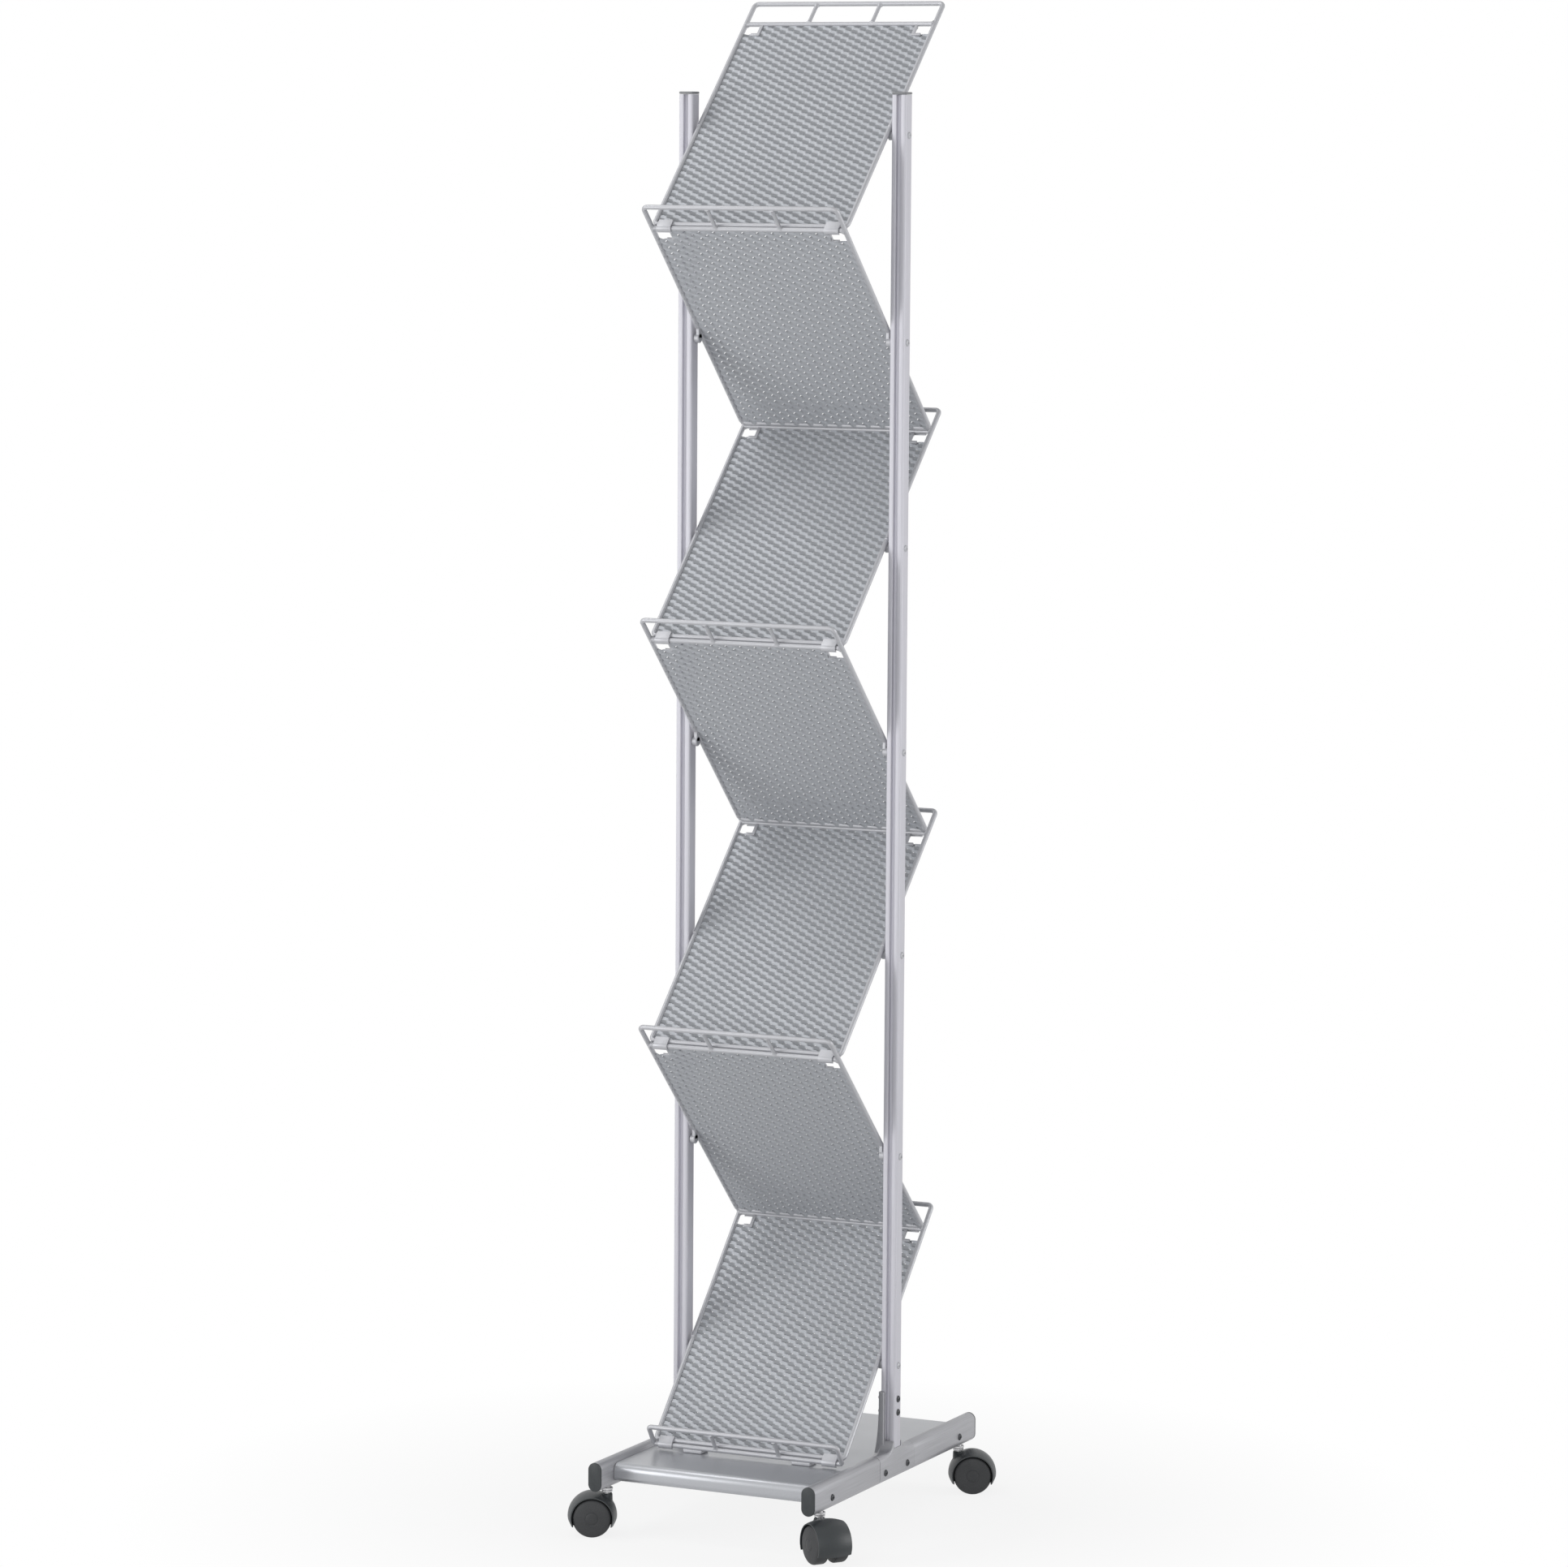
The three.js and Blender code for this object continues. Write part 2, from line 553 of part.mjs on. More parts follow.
for (const { name, side, end, trail } of casters) {
  const angle = THREE.MathUtils.degToRad(trail);
  const back = [Math.cos(angle), Math.sin(angle), 0];
  const axle = [-Math.sin(angle), Math.cos(angle), 0];
  const up = [0, 0, 1];
  const stand = [side * RAIL_X, end * CASTER_Y, 0];
  const hub = [stand[0] + CASTER_TRAIL * back[0], stand[1] + CASTER_TRAIL * back[1], WHEEL_RADIUS];

  const stem = join(
    bar([stand[0], stand[1], 30], [stand[0], stand[1], 73], STEM_RADIUS, 16),
    bar([stand[0], stand[1], 46.6], [stand[0], stand[1], 49.6], 6, 16),
  );
  add(`caster_stem_${name}`, stem, zinc);

  const axes = [back, up, axle.map((value) => -value)];
  const shell = [...arc(0, 0, HOOD_RADIUS, -24, 204, 18), ...arc(0, 0, HOOD_INNER, 204, -24, 18)];
  const web = [[0, -6], ...arc(0, 0, HOOD_INNER + 1.2, -24, 204, 12)];
  const along = (distance) => hub.map((value, i) => value + axle[i] * distance);
  const wells = [-1, 1].map((face) => bar(along(face * WEB_HALF), along(face * 30), HOOD_INNER + 0.8, 20));
  const neck = cut(bar([stand[0], stand[1], 34], [stand[0], stand[1], 46.2], 8.5, 20), ...wells);
  const hollow = bar([stand[0], stand[1], 29], [stand[0], stand[1], 60], STEM_RADIUS + STEM_GAP, 16);
  const spindle = bar(along(-15), along(15), AXLE_RADIUS, 16);
  const cover = prism(shell, axes, hub, -HOOD_HALF, HOOD_HALF);
  const hood = cut(join(cover, prism(web, axes, hub, -WEB_HALF, WEB_HALF), neck, spindle), hollow);
  add(`caster_hood_${name}`, hood, charcoal);

  const rim = WHEEL_RADIUS / Math.cos(Math.PI / WHEEL_SIDES);
  const bore = AXLE_RADIUS + AXLE_GAP;
  const inner = WEB_HALF + 0.4;
  for (const [letter, face] of [['a', -1], ['b', 1]]) {
    const tread = [[bore, inner], [rim - 1, inner], [rim, inner + 1], [rim, 16], [rim - 2, 18.2]];
    const dome = [[9, 19.5], [0, 19.9], [0, 15.6], [bore, 15.6]];
    const profile = [...tread, ...dome];
    const line = axle.map((value) => value * face);
    const wheel = turned(profile, WHEEL_SIDES, hub, line, up, Math.PI / WHEEL_SIDES);
    add(`caster_wheel_${name}_${letter}`, wheel, rubber);
  }
}

export default rack;
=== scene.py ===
# %% [markdown]
# # A periodical display rack in cells
# Seven panels of expanded metal zigzag down between two grooved uprights on a castered base. The
# script dresses a finished CAD model, so every piece is put where the CAD has it, and every shape
# is a small formula worked out with numpy.

# %% Load the CAD frame
import math

import bmesh
import bpy
import numpy as np
from mathutils import Matrix, Vector


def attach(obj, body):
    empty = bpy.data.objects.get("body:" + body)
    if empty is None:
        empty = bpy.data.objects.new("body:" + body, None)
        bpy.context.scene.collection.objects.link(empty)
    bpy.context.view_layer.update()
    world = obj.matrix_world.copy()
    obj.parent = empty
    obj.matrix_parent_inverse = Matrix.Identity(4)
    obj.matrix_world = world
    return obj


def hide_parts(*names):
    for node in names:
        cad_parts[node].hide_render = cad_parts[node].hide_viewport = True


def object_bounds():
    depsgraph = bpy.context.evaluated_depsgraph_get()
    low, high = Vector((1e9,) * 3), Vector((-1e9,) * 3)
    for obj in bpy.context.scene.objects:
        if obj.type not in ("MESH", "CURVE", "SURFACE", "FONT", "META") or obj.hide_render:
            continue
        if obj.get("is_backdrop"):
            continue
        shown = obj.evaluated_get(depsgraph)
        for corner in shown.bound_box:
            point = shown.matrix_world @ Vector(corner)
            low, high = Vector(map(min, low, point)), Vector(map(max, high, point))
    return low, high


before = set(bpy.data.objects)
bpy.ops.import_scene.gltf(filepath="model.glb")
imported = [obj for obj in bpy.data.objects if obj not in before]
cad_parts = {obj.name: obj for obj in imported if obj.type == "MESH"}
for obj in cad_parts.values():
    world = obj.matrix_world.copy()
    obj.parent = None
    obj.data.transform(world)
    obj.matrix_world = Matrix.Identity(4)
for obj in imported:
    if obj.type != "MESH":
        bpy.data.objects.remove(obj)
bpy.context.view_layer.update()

# %% [markdown]
# ## Skins from nets of points
# Blender could build these pieces from primitives and modifiers. Here a piece is a net instead: rows
# of closed rings, joined by four-sided faces. A skin is a pair of points (in millimetres) and index
# arrays, so skins can be moved as whole arrays before they become one mesh.

# %% Nets, caps and places
MM = 0.001
MERGE_DISTANCE, SLIVER = 1e-6, 1e-7
SMOOTH_ANGLE = 38
WORLD = np.eye(3)
X_AXIS, Z_AXIS = WORLD[0], WORLD[2]


def unit(v):
    """Vectors divided by their own length."""
    return v / np.linalg.norm(v, axis=-1, keepdims=True)


def smooth(x):
    """Zero below 0, one above 1, and the S-curve 3 x^2 - 2 x^3 between."""
    x = np.clip(x, 0, 1)
    return x * x * (3 - 2 * x)


def net(points, wrap_rows=False):
    """Skin over rows of closed rings: face (i, j) joins ring i to ring i + 1 between their points j
    and j + 1. If the rows don't meet again, one flat face closes each end."""
    rows, cols = points.shape[:2]
    i = np.arange(rows if wrap_rows else rows - 1)[:, None]
    j = np.arange(cols)[None, :]
    following, beside = (i + 1) % rows, (j + 1) % cols
    corners = [i * cols + j, i * cols + beside, following * cols + beside, following * cols + j]
    faces = [np.stack(corners, -1).reshape(-1, 4)]
    if not wrap_rows:
        ring = np.arange(cols)[None, :]
        faces += [ring[:, ::-1], ring + (rows - 1) * cols]
    return points.reshape(-1, 3), faces


def placed(skin, origin, axes):
    """The skin moved as a whole: new point = origin + u * first axis + v * second + w * third."""
    points, faces = skin
    return points @ np.asarray(axes, float) + np.asarray(origin, float), faces


def tidy_mesh(mesh, sharp):
    """Merges doubled points, turns faces outwards and smooths all edges flatter than the angle."""
    bm = bmesh.new()
    bm.from_mesh(mesh)
    bmesh.ops.remove_doubles(bm, verts=bm.verts, dist=MERGE_DISTANCE)
    bmesh.ops.dissolve_degenerate(bm, edges=bm.edges, dist=SLIVER)
    bmesh.ops.recalc_face_normals(bm, faces=bm.faces)
    bm.to_mesh(mesh)
    bm.free()
    mesh.polygons.foreach_set("use_smooth", np.ones(len(mesh.polygons), bool))
    mesh.set_sharp_from_angle(angle=math.radians(sharp))


def dress(name, mesh, finish, nodes, body):
    """Puts a mesh into the scene with its finish, body, material slot and replaced CAD nodes."""
    mesh.materials.append(finish)
    made = bpy.data.objects.new(name, mesh)
    bpy.context.collection.objects.link(made)
    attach(made, body)
    if nodes:
        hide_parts(*nodes)
    return made


def piece(name, skins, finish, nodes=(), body="rack"):
    """One object made of one or more skins, in metres, riding on its body."""
    starts = np.cumsum([0] + [len(points) for points, _ in skins])
    points = np.concatenate([points for points, _ in skins]) * MM
    blocks = [block + start for (_, faces), start in zip(skins, starts) for block in faces]
    mesh = bpy.data.meshes.new(name)
    mesh.from_pydata(points.tolist(), [], [face for block in blocks for face in block.tolist()])
    tidy_mesh(mesh, SMOOTH_ANGLE)
    return dress(name, mesh, finish, nodes, body)


_, blocks = net(np.zeros((3, 8, 3)))
print("a net of 3 rings of 8 points has", sum(map(len, blocks)), "faces with its two ends")

# %% [markdown]
# ## Three ways to draw a solid
# A plate is an outline with depth, a turned piece is a profile round an axis, and a rod is a circle
# carried along a path. Real sheet metal and mouldings have no knife edges, so the plate's rims are
# rounded by drawing the outline in along its own normals.

# %% Outlines, plates, turned pieces and rods
ROD_SIDES, BEND_STEPS = 14, 8
BEAD_AWAY = np.array([-0.9, -0.2, 0.6, 1.5, 2.6])
BEAD_SWELL = 1.3


def rounded(corners, radii, steps=6, closed=True):
    """Polygon with round corners. With unit directions a and b from a corner to its neighbours and
    half the angle between them h, the arc of radius r has its centre r / sin(h) along a + b and
    touches the sides r / tan(h) from the corner. An open line keeps its two ends."""
    c = np.asarray(corners, float)
    r = np.broadcast_to(np.asarray(radii, float), len(c))
    a = unit(np.roll(c, 1, 0) - c)
    b = unit(np.roll(c, -1, 0) - c)
    half = np.arccos(np.clip((a * b).sum(1), -1, 1)) / 2
    centre = c + unit(a + b) * (r / np.sin(half))[:, None]
    touch = (r / np.tan(half))[:, None]
    start, end = c + a * touch - centre, c + b * touch - centre
    sweep = (np.pi - 2 * half)[:, None, None]
    t = np.linspace(0, 1, steps + 1)[None, :, None]
    turn = start[:, None] * np.sin((1 - t) * sweep) + end[:, None] * np.sin(t * sweep)
    arcs = centre[:, None] + turn / np.sin(sweep)
    if closed:
        return arcs.reshape(-1, 2)
    return np.concatenate([c[:1], arcs[1:-1].reshape(-1, 2), c[-1:]])


def inward(outline):
    """Step that moves both edges at a corner in by one: the sum of their inner normals over one plus
    the cosine between them."""
    edge = unit(np.roll(outline, -1, 0) - outline)
    normal = np.stack([-edge[:, 1], edge[:, 0]], 1)
    before = np.roll(normal, 1, 0)
    x, y = outline.T
    turn = np.sign(np.sum(x * np.roll(y, -1) - np.roll(x, -1) * y))
    return turn * (normal + before) / (1 + (normal * before).sum(1, keepdims=True))


def plate(outline, low, high, rim=0.4, steps=3):
    """Outline (u, v) pushed along w from low to high. At both ends it draws in by rim * (1 - sin a)
    while w goes rim * (1 - cos a) from the end, a quarter circle, so the rims are round."""
    a = np.linspace(0, np.pi / 2, steps + 1)
    draw, depth = rim * (1 - np.sin(a)), rim * (1 - np.cos(a))
    draw = np.concatenate([draw, draw[::-1]])
    w = np.concatenate([low + depth, high - depth[::-1]])
    flat = outline[None] + draw[:, None, None] * inward(outline)[None]
    heights = np.broadcast_to(w[:, None, None], (len(w), len(outline), 1))
    return net(np.concatenate([flat, heights], 2))


def strip(path, thickness):
    """Closed outline of a bent strip: the open path moved half the thickness to each side."""
    along = unit(np.gradient(path, axis=0))
    side = np.stack([-along[:, 1], along[:, 0]], 1) * thickness / 2
    return np.concatenate([path + side, (path - side)[::-1]])


def turned(profile, foot, axis, sides=24):
    """Profile of (radius, height) pairs round an axis: foot + height * axis + radius * direction,
    with the direction turning through a full circle."""
    axis = unit(np.asarray(axis, float))
    first = unit(np.cross(axis, Z_AXIS if abs(axis[2]) < 0.9 else X_AXIS))
    second = np.cross(axis, first)
    a = 2 * np.pi * (np.arange(sides) + 0.5) / sides
    direction = np.cos(a)[:, None] * first + np.sin(a)[:, None] * second
    radius, height = np.asarray(profile, float).T
    points = height[:, None, None] * axis + radius[:, None, None] * direction[None]
    return net(points + np.asarray(foot, float))


def welded_bar(start, end, radius, onto):
    """Round bar between two rods of radius onto. Where it meets them its radius swells by a bead that
    fades as the square of the distance, as a weld does."""
    start, end = np.asarray(start, float), np.asarray(end, float)
    length = np.linalg.norm(end - start)
    away = onto + BEAD_AWAY
    bead = BEAD_SWELL * (1 - (away - away[0]) / (away[-1] - away[0])) ** 2
    height = np.concatenate([[0, 0], away, length - away[::-1], [length, length]])
    swell = np.concatenate([[-radius, 0], bead, bead[::-1], [0, -radius]])
    return turned(np.stack([radius + swell, height], 1), start, end - start, ROD_SIDES)


def bent_loop(half, top, low, top_radius, low_radius, radius):
    """Rod bent into a flat loop with four round corners. A corner's arc has the points centre + r *
    (cos a, sin a), whose outward normal is (cos a, sin a), and the rod's ring lies in the plane of
    that normal and the third axis."""
    tr, lr = top_radius, low_radius
    centre = np.array([[half - tr, top + tr], [tr - half, top + tr],
                       [lr - half, low - lr], [half - lr, low - lr]])
    begin, end = np.radians([[0, -90, 180, 90], [-90, -180, 90, 0]])
    t = np.linspace(0, 1, BEND_STEPS + 1)
    a = begin[:, None] + (end - begin)[:, None] * t
    out = np.stack([np.cos(a), np.sin(a)], -1)
    path = centre[:, None] + np.array([tr, tr, lr, lr])[:, None, None] * out
    path, out = path.reshape(-1, 1, 2), out.reshape(-1, 1, 2)
    ring = 2 * np.pi * np.arange(ROD_SIDES) / ROD_SIDES
    flat = path + radius * np.cos(ring)[None, :, None] * out
    lift = np.broadcast_to(radius * np.sin(ring)[None, :, None], (*flat.shape[:2], 1))
    return net(np.concatenate([flat, lift], 2), wrap_rows=True)


SQUARE = np.array([(1, -1), (1, 1), (-1, 1), (-1, -1)])
print("a square with round corners has", len(rounded(SQUARE, 0.2)), "points")

# %% [markdown]
# ## Finishes
# Wire and sheet have silver paint, the uprights and the base are anodised aluminium, the caps and the
# casters are charcoal and grey plastics, and the screws are zinc-plated or blackened steel. Image
# textures would be one way. Procedural nodes on Object coordinates keep their real scale on every
# piece, so flakes, drawing lines and moulded grain are given in sizes of the real thing. The mesh also
# reads a value from its points that paints shade into the recesses between the strands and onto the
# sunk strands that rise.

# %% A node helper and the finishes
GRAIN_BAND, BLOTCH_BAND = (0.3, 0.7), (0.25, 0.75)
GRAIN_DEPTH, COAT_ROUGHNESS = 0.0004, 0.25
DRAWN = 0.01


def node(tree, kind, links=(), **values):
    """Adds a node, sets its properties or inputs by name, and links sockets to its inputs."""
    made = tree.nodes.new(kind)
    for key, value in values.items():
        if hasattr(made, key):
            setattr(made, key, value)
        else:
            made.inputs[key.replace("_", " ")].default_value = value
    for name, socket in links:
        tree.links.new(socket, made.inputs[name])
    return made


def grained(name, dark, light, grain, rough, blotch, depth, metallic=0.0, stretch=(1, 1, 1), coat=0.0,
            painted_recess_shade=None):
    """A finish with three layers of noise on Object coordinates: fine grain between two colours,
    broad blotches in the roughness, and the grain again as a shallow bump. Sizes are waves per metre,
    and stretch draws the grain out along an axis. With painted recess shade, the colour is multiplied by
    that share where the points' painted light value is zero, and by more up to one where it is one: this
    is shade painted into the recesses."""
    finish = bpy.data.materials.new(name)
    finish.use_nodes = True
    tree = finish.node_tree
    shader = tree.nodes["Principled BSDF"]
    shader.inputs["Metallic"].default_value = metallic
    shader.inputs["Coat Weight"].default_value = coat
    shader.inputs["Coat Roughness"].default_value = COAT_ROUGHNESS
    place = node(tree, "ShaderNodeTexCoord").outputs["Object"]
    drawn = node(tree, "ShaderNodeMapping", [("Vector", place)], Scale=stretch).outputs["Vector"]
    fine = node(tree, "ShaderNodeTexNoise", [("Vector", drawn)], Scale=grain, Detail=3.0).outputs["Fac"]
    broad = node(tree, "ShaderNodeTexNoise", [("Vector", place)], Scale=blotch, Detail=4.0).outputs["Fac"]
    ramp = node(tree, "ShaderNodeValToRGB", [("Fac", fine)])
    for element, position, tint in zip(ramp.color_ramp.elements, GRAIN_BAND, (dark, light)):
        element.position, element.color = position, (*tint, 1)
    colour = ramp.outputs["Color"]
    # Painted shade: the colour is darkened where the points' painted light value is low, in the recesses
    # between the strands.
    if painted_recess_shade is not None:
        painted_light = node(tree, "ShaderNodeAttribute", attribute_name="painted_light").outputs["Fac"]
        shade = node(tree, "ShaderNodeMapRange", [("Value", painted_light)], To_Min=painted_recess_shade).outputs["Result"]
        scaled = node(tree, "ShaderNodeVectorMath", [("Vector", colour), ("Scale", shade)],
                      operation="SCALE")
        colour = scaled.outputs["Vector"]
    tree.links.new(colour, shader.inputs["Base Color"])
    gloss = node(tree, "ShaderNodeMapRange", [("Value", broad)], From_Min=BLOTCH_BAND[0],
                 From_Max=BLOTCH_BAND[1], To_Min=rough[0], To_Max=rough[1])
    tree.links.new(gloss.outputs["Result"], shader.inputs["Roughness"])
    bump = node(tree, "ShaderNodeBump", [("Height", fine)], Strength=depth, Distance=GRAIN_DEPTH)
    tree.links.new(bump.outputs["Normal"], shader.inputs["Normal"])
    print("finish", name, "grain", grain, "per metre")
    return finish


silver_paint = grained("silver_paint", (0.42, 0.425, 0.45), (0.52, 0.525, 0.55), grain=2600,
                       rough=(0.38, 0.48), blotch=22, depth=0.10, metallic=0.35, coat=0.1)
silver_plate = grained("silver_plate", (0.385, 0.395, 0.42), (0.475, 0.485, 0.51), grain=2600,
                       rough=(0.29, 0.36), blotch=22, depth=0.06, metallic=0.5, coat=0.1)
# The mesh's colour carries painted shade, down to 0.48 of itself in its recesses and on its sunk strands.
silver_mesh = grained("silver_mesh", (0.44, 0.458, 0.49), (0.555, 0.575, 0.612), grain=2200,
                      rough=(0.48, 0.58), blotch=30, depth=0.12, metallic=0.2, painted_recess_shade=0.48)
drawn_upright = grained("anodised_upright", (0.575, 0.57, 0.62), (0.655, 0.65, 0.705), grain=1500,
                        rough=(0.46, 0.54), blotch=16, depth=0.08, metallic=0.15,
                        stretch=(1, 1, DRAWN))
drawn_rail = grained("anodised_rail", (0.35, 0.352, 0.372), (0.43, 0.432, 0.456), grain=1500,
                     rough=(0.38, 0.48), blotch=16, depth=0.08, metallic=0.45,
                     stretch=(1, DRAWN, 1))
charcoal = grained("charcoal_plastic", (0.021, 0.026, 0.029), (0.031, 0.036, 0.039), grain=1700,
                   rough=(0.34, 0.46), blotch=35, depth=0.2)
wheel_plastic = grained("wheel_plastic", (0.020, 0.0212, 0.0235), (0.032, 0.0335, 0.036), grain=1300,
                        rough=(0.5, 0.66), blotch=60, depth=0.18)
lid_plastic = grained("lid_plastic", (0.20, 0.205, 0.215), (0.25, 0.255, 0.265), grain=1700,
                      rough=(0.42, 0.55), blotch=35, depth=0.15)
zinc_steel = grained("zinc_steel", (0.50, 0.50, 0.51), (0.62, 0.62, 0.63), grain=1800,
                     rough=(0.28, 0.4), blotch=40, depth=0.06, metallic=0.9)
black_oxide = grained("black_oxide", (0.040, 0.042, 0.046), (0.07, 0.072, 0.078), grain=1800,
                      rough=(0.38, 0.5), blotch=50, depth=0.08, metallic=0.5)

# %% [markdown]
# ## The zigzag
# Each panel has its own axes: across the rack, down its slope, and up square to its mesh. A panel is
# drawn once in these axes and then set into its slope, because all but the lowest have one length.

# %% Joints and slopes
PANELS = 7
TOP_JOINT_Z, JOINT_PITCH, JOINT_DEPTH = 1543.0, 208.6, 106.5
FOOT_JOINT = (-91.0, 80.5)
FOOT_LIP_TOP = (-104.5, 100.5)

joints = [((JOINT_DEPTH, -JOINT_DEPTH)[k % 2], TOP_JOINT_Z - k * JOINT_PITCH) for k in range(PANELS)]
joints.append(FOOT_JOINT)


def slope(start, end):
    """Origin, axes and length of a panel from joint to joint: down is the unit step between them, and
    up is down turned by a right angle, to the side that faces the sky."""
    step = np.array([0, end[0] - start[0], end[1] - start[1]])
    down = unit(step)
    up = np.array([0, -down[2], down[1]])
    up *= np.sign(up[2])
    return np.array([0, *start]), np.stack([X_AXIS, down, up]), np.linalg.norm(step)


slopes = [slope(joints[k], joints[k + 1]) for k in range(PANELS)]
print("panel lengths in mm:", [round(length, 1) for _, _, length in slopes])

# %% [markdown]
# ## Wire frames
# A panel's frame is one rod bent into a loop, with a cross rod and two short posts welded in: above
# the cross rod it is the open lip of a pocket. Two bent clips at the foot hang over the next panel's
# cross rod, and a lug on each side meets the upright. Curves with a bevel would give the rods too, but
# a net gives the weld beads for nothing.

# %% Frames with clips and lugs
SIDE_ROD_X, ROD_RADIUS = 107.5, 2.5
LIP_HEIGHT, LIP_POST_X, POST_RADIUS = 30.5, 36.0, 2.0
END_SETBACK, LIP_CORNER, LOW_CORNER = 5.6, 5.0, 5.0
CLIP_X, CLIP_WIDTH, CLIP_INNER, CLIP_OUTER = 93.5, 16.0, 2.9, 4.2
CLIP_TAIL, CLIP_UNDER, CLIP_THROAT = -8.2, 1.2, -3.6
CLIP_MOUTH, CLIP_TIP, CLIP_BACK = 155, -40, 90
LUG_DROP, LUG_RADIUS, LUG_END, LUG_HALF = 9.5, 5.0, 111.7, 1.7
EAR_HALF, EAR_TOP, EAR_CORNER = 3.5, LUG_DROP + 1, 0.8
NOTCH_U, NOTCH_V = 88.7, 14.8
TAB_U, TAB_LOW, TAB_HIGH, TAB_CORNER = NOTCH_U - 0.6, -0.8, 1.2, 0.5
STAMPED_RIM = 0.35
FACING_X = [[0, 1, 0], [0, 0, 1], [1, 0, 0]]


def ray(radius, start, end, steps):
    """Points of an arc about the origin between two angles in degrees."""
    a = np.radians(np.linspace(start, end, steps + 1))
    return radius * np.stack([np.cos(a), np.sin(a)], 1)


clip_outline = np.concatenate([
    [[CLIP_TAIL, CLIP_UNDER], [CLIP_THROAT, CLIP_UNDER]],
    ray(CLIP_INNER, CLIP_MOUTH, CLIP_TIP, steps=16),
    ray(CLIP_OUTER, CLIP_TIP, CLIP_BACK, steps=12),
    [[CLIP_TAIL, CLIP_OUTER]],
])
tab_corners = [(-1.7, 0.5), (1.7, 0.5), (1.7, 14.2), (8.5, 14.2), (8.5, 17.4), (-1.7, 17.4)]
tab_outline = rounded(tab_corners, TAB_CORNER, steps=3)
ear_corners = [(-EAR_HALF, 0), (EAR_HALF, 0), (EAR_HALF, EAR_TOP), (-EAR_HALF, EAR_TOP)]
ear_outline = rounded(ear_corners, EAR_CORNER)
boss_end = LUG_END - SIDE_ROD_X + LUG_HALF
boss_profile = [(0, 0), (4.2, 0), (LUG_RADIUS, 0.8), (LUG_RADIUS, boss_end - 0.7), (4.4, boss_end),
                (0, boss_end)]


def lug_height(k):
    """Height of panel k's screw: where its side rod crosses the middle of the uprights, less the
    lug's drop."""
    (y0, z0), (y1, z1) = joints[k], joints[k + 1]
    return z0 + (z1 - z0) * y0 / (y0 - y1) - LUG_DROP


def wire_frame(k):
    """Skins of panel k's frame: loop, cross rod, posts and clips on its slope, lugs in the world."""
    origin, axes, length = slopes[k]
    flat = [
        bent_loop(SIDE_ROD_X, -LIP_HEIGHT, length - END_SETBACK, LIP_CORNER, LOW_CORNER, ROD_RADIUS),
        welded_bar((-SIDE_ROD_X, 0, 0), (SIDE_ROD_X, 0, 0), ROD_RADIUS, ROD_RADIUS),
    ]
    lugs = []
    z = lug_height(k)
    for side in (-1, 1):
        post = side * LIP_POST_X
        flat.append(welded_bar((post, -LIP_HEIGHT, 0), (post, 0, 0), POST_RADIUS, ROD_RADIUS))
        clip = plate(clip_outline, -CLIP_WIDTH / 2, CLIP_WIDTH / 2, STAMPED_RIM)
        flat.append(placed(clip, (side * CLIP_X, length, 0), FACING_X))
        tab = plate(tab_outline * (side, 1), TAB_LOW, TAB_HIGH, STAMPED_RIM)
        flat.append(placed(tab, (side * TAB_U, 0, 0), WORLD))
        ear = plate(ear_outline, -LUG_HALF, LUG_HALF)
        lugs.append(placed(ear, (side * SIDE_ROD_X, 0, z), FACING_X))
        lugs.append(turned(boss_profile, (side * (SIDE_ROD_X - LUG_HALF), 0, z), (side, 0, 0)))
    return [placed(skin, origin, axes) for skin in flat] + lugs


for k in range(PANELS):
    made = piece(f"wire_frame_{k + 1}", wire_frame(k), silver_paint,
                 [f"panel_frame_{k + 1}"])
print("wire frames:", PANELS, "with", len(made.data.polygons), "faces each")

# %% [markdown]
# ## Expanded metal
# The sheets are slit and stretched, which leaves staggered diamonds between slanted strands. An alpha
# texture would be flat from the side, so the strands are real. One diamond is a ring of faces between
# its rim, which it shares with its neighbours, and its hole. The strands that fall to the right stay
# flat, and those that rise sag and twist between them, so the eye reads slanting lines. Shade is
# painted onto the sunk rising strands and into the recesses, which makes those lines stronger. A
# second layer below gives the strands their thickness.

# %% One net of diamonds per panel length
LONG_WAY, SHORT_WAY = 16.4, 9.0
RISING_GAP, FALLING_GAP = 0.25, 0.45
SAG, LIFT, GAUGE = 0.9, 2.8, 0.9
HOLE_CURVE = 1.25
# Painted light on the lower layer: painted shade down to 0.25 on the rising strands, 0.8 on the falling
# ones.
BACK_PAINTED_SHADE, BACK_PAINTED_LIGHT = 0.25, 0.8
DIAMOND_POINTS = 12
COLUMN_REACH, SPARE_ROWS = 15, 2
SHEET_HALF, SHEET_TOP, SHEET_SETBACK = 106.9, 0.3, END_SETBACK + 0.2
SHARED_DISTANCE, CUT_DISTANCE = 1e-3, 1e-5
STRAND_ANGLE = 50


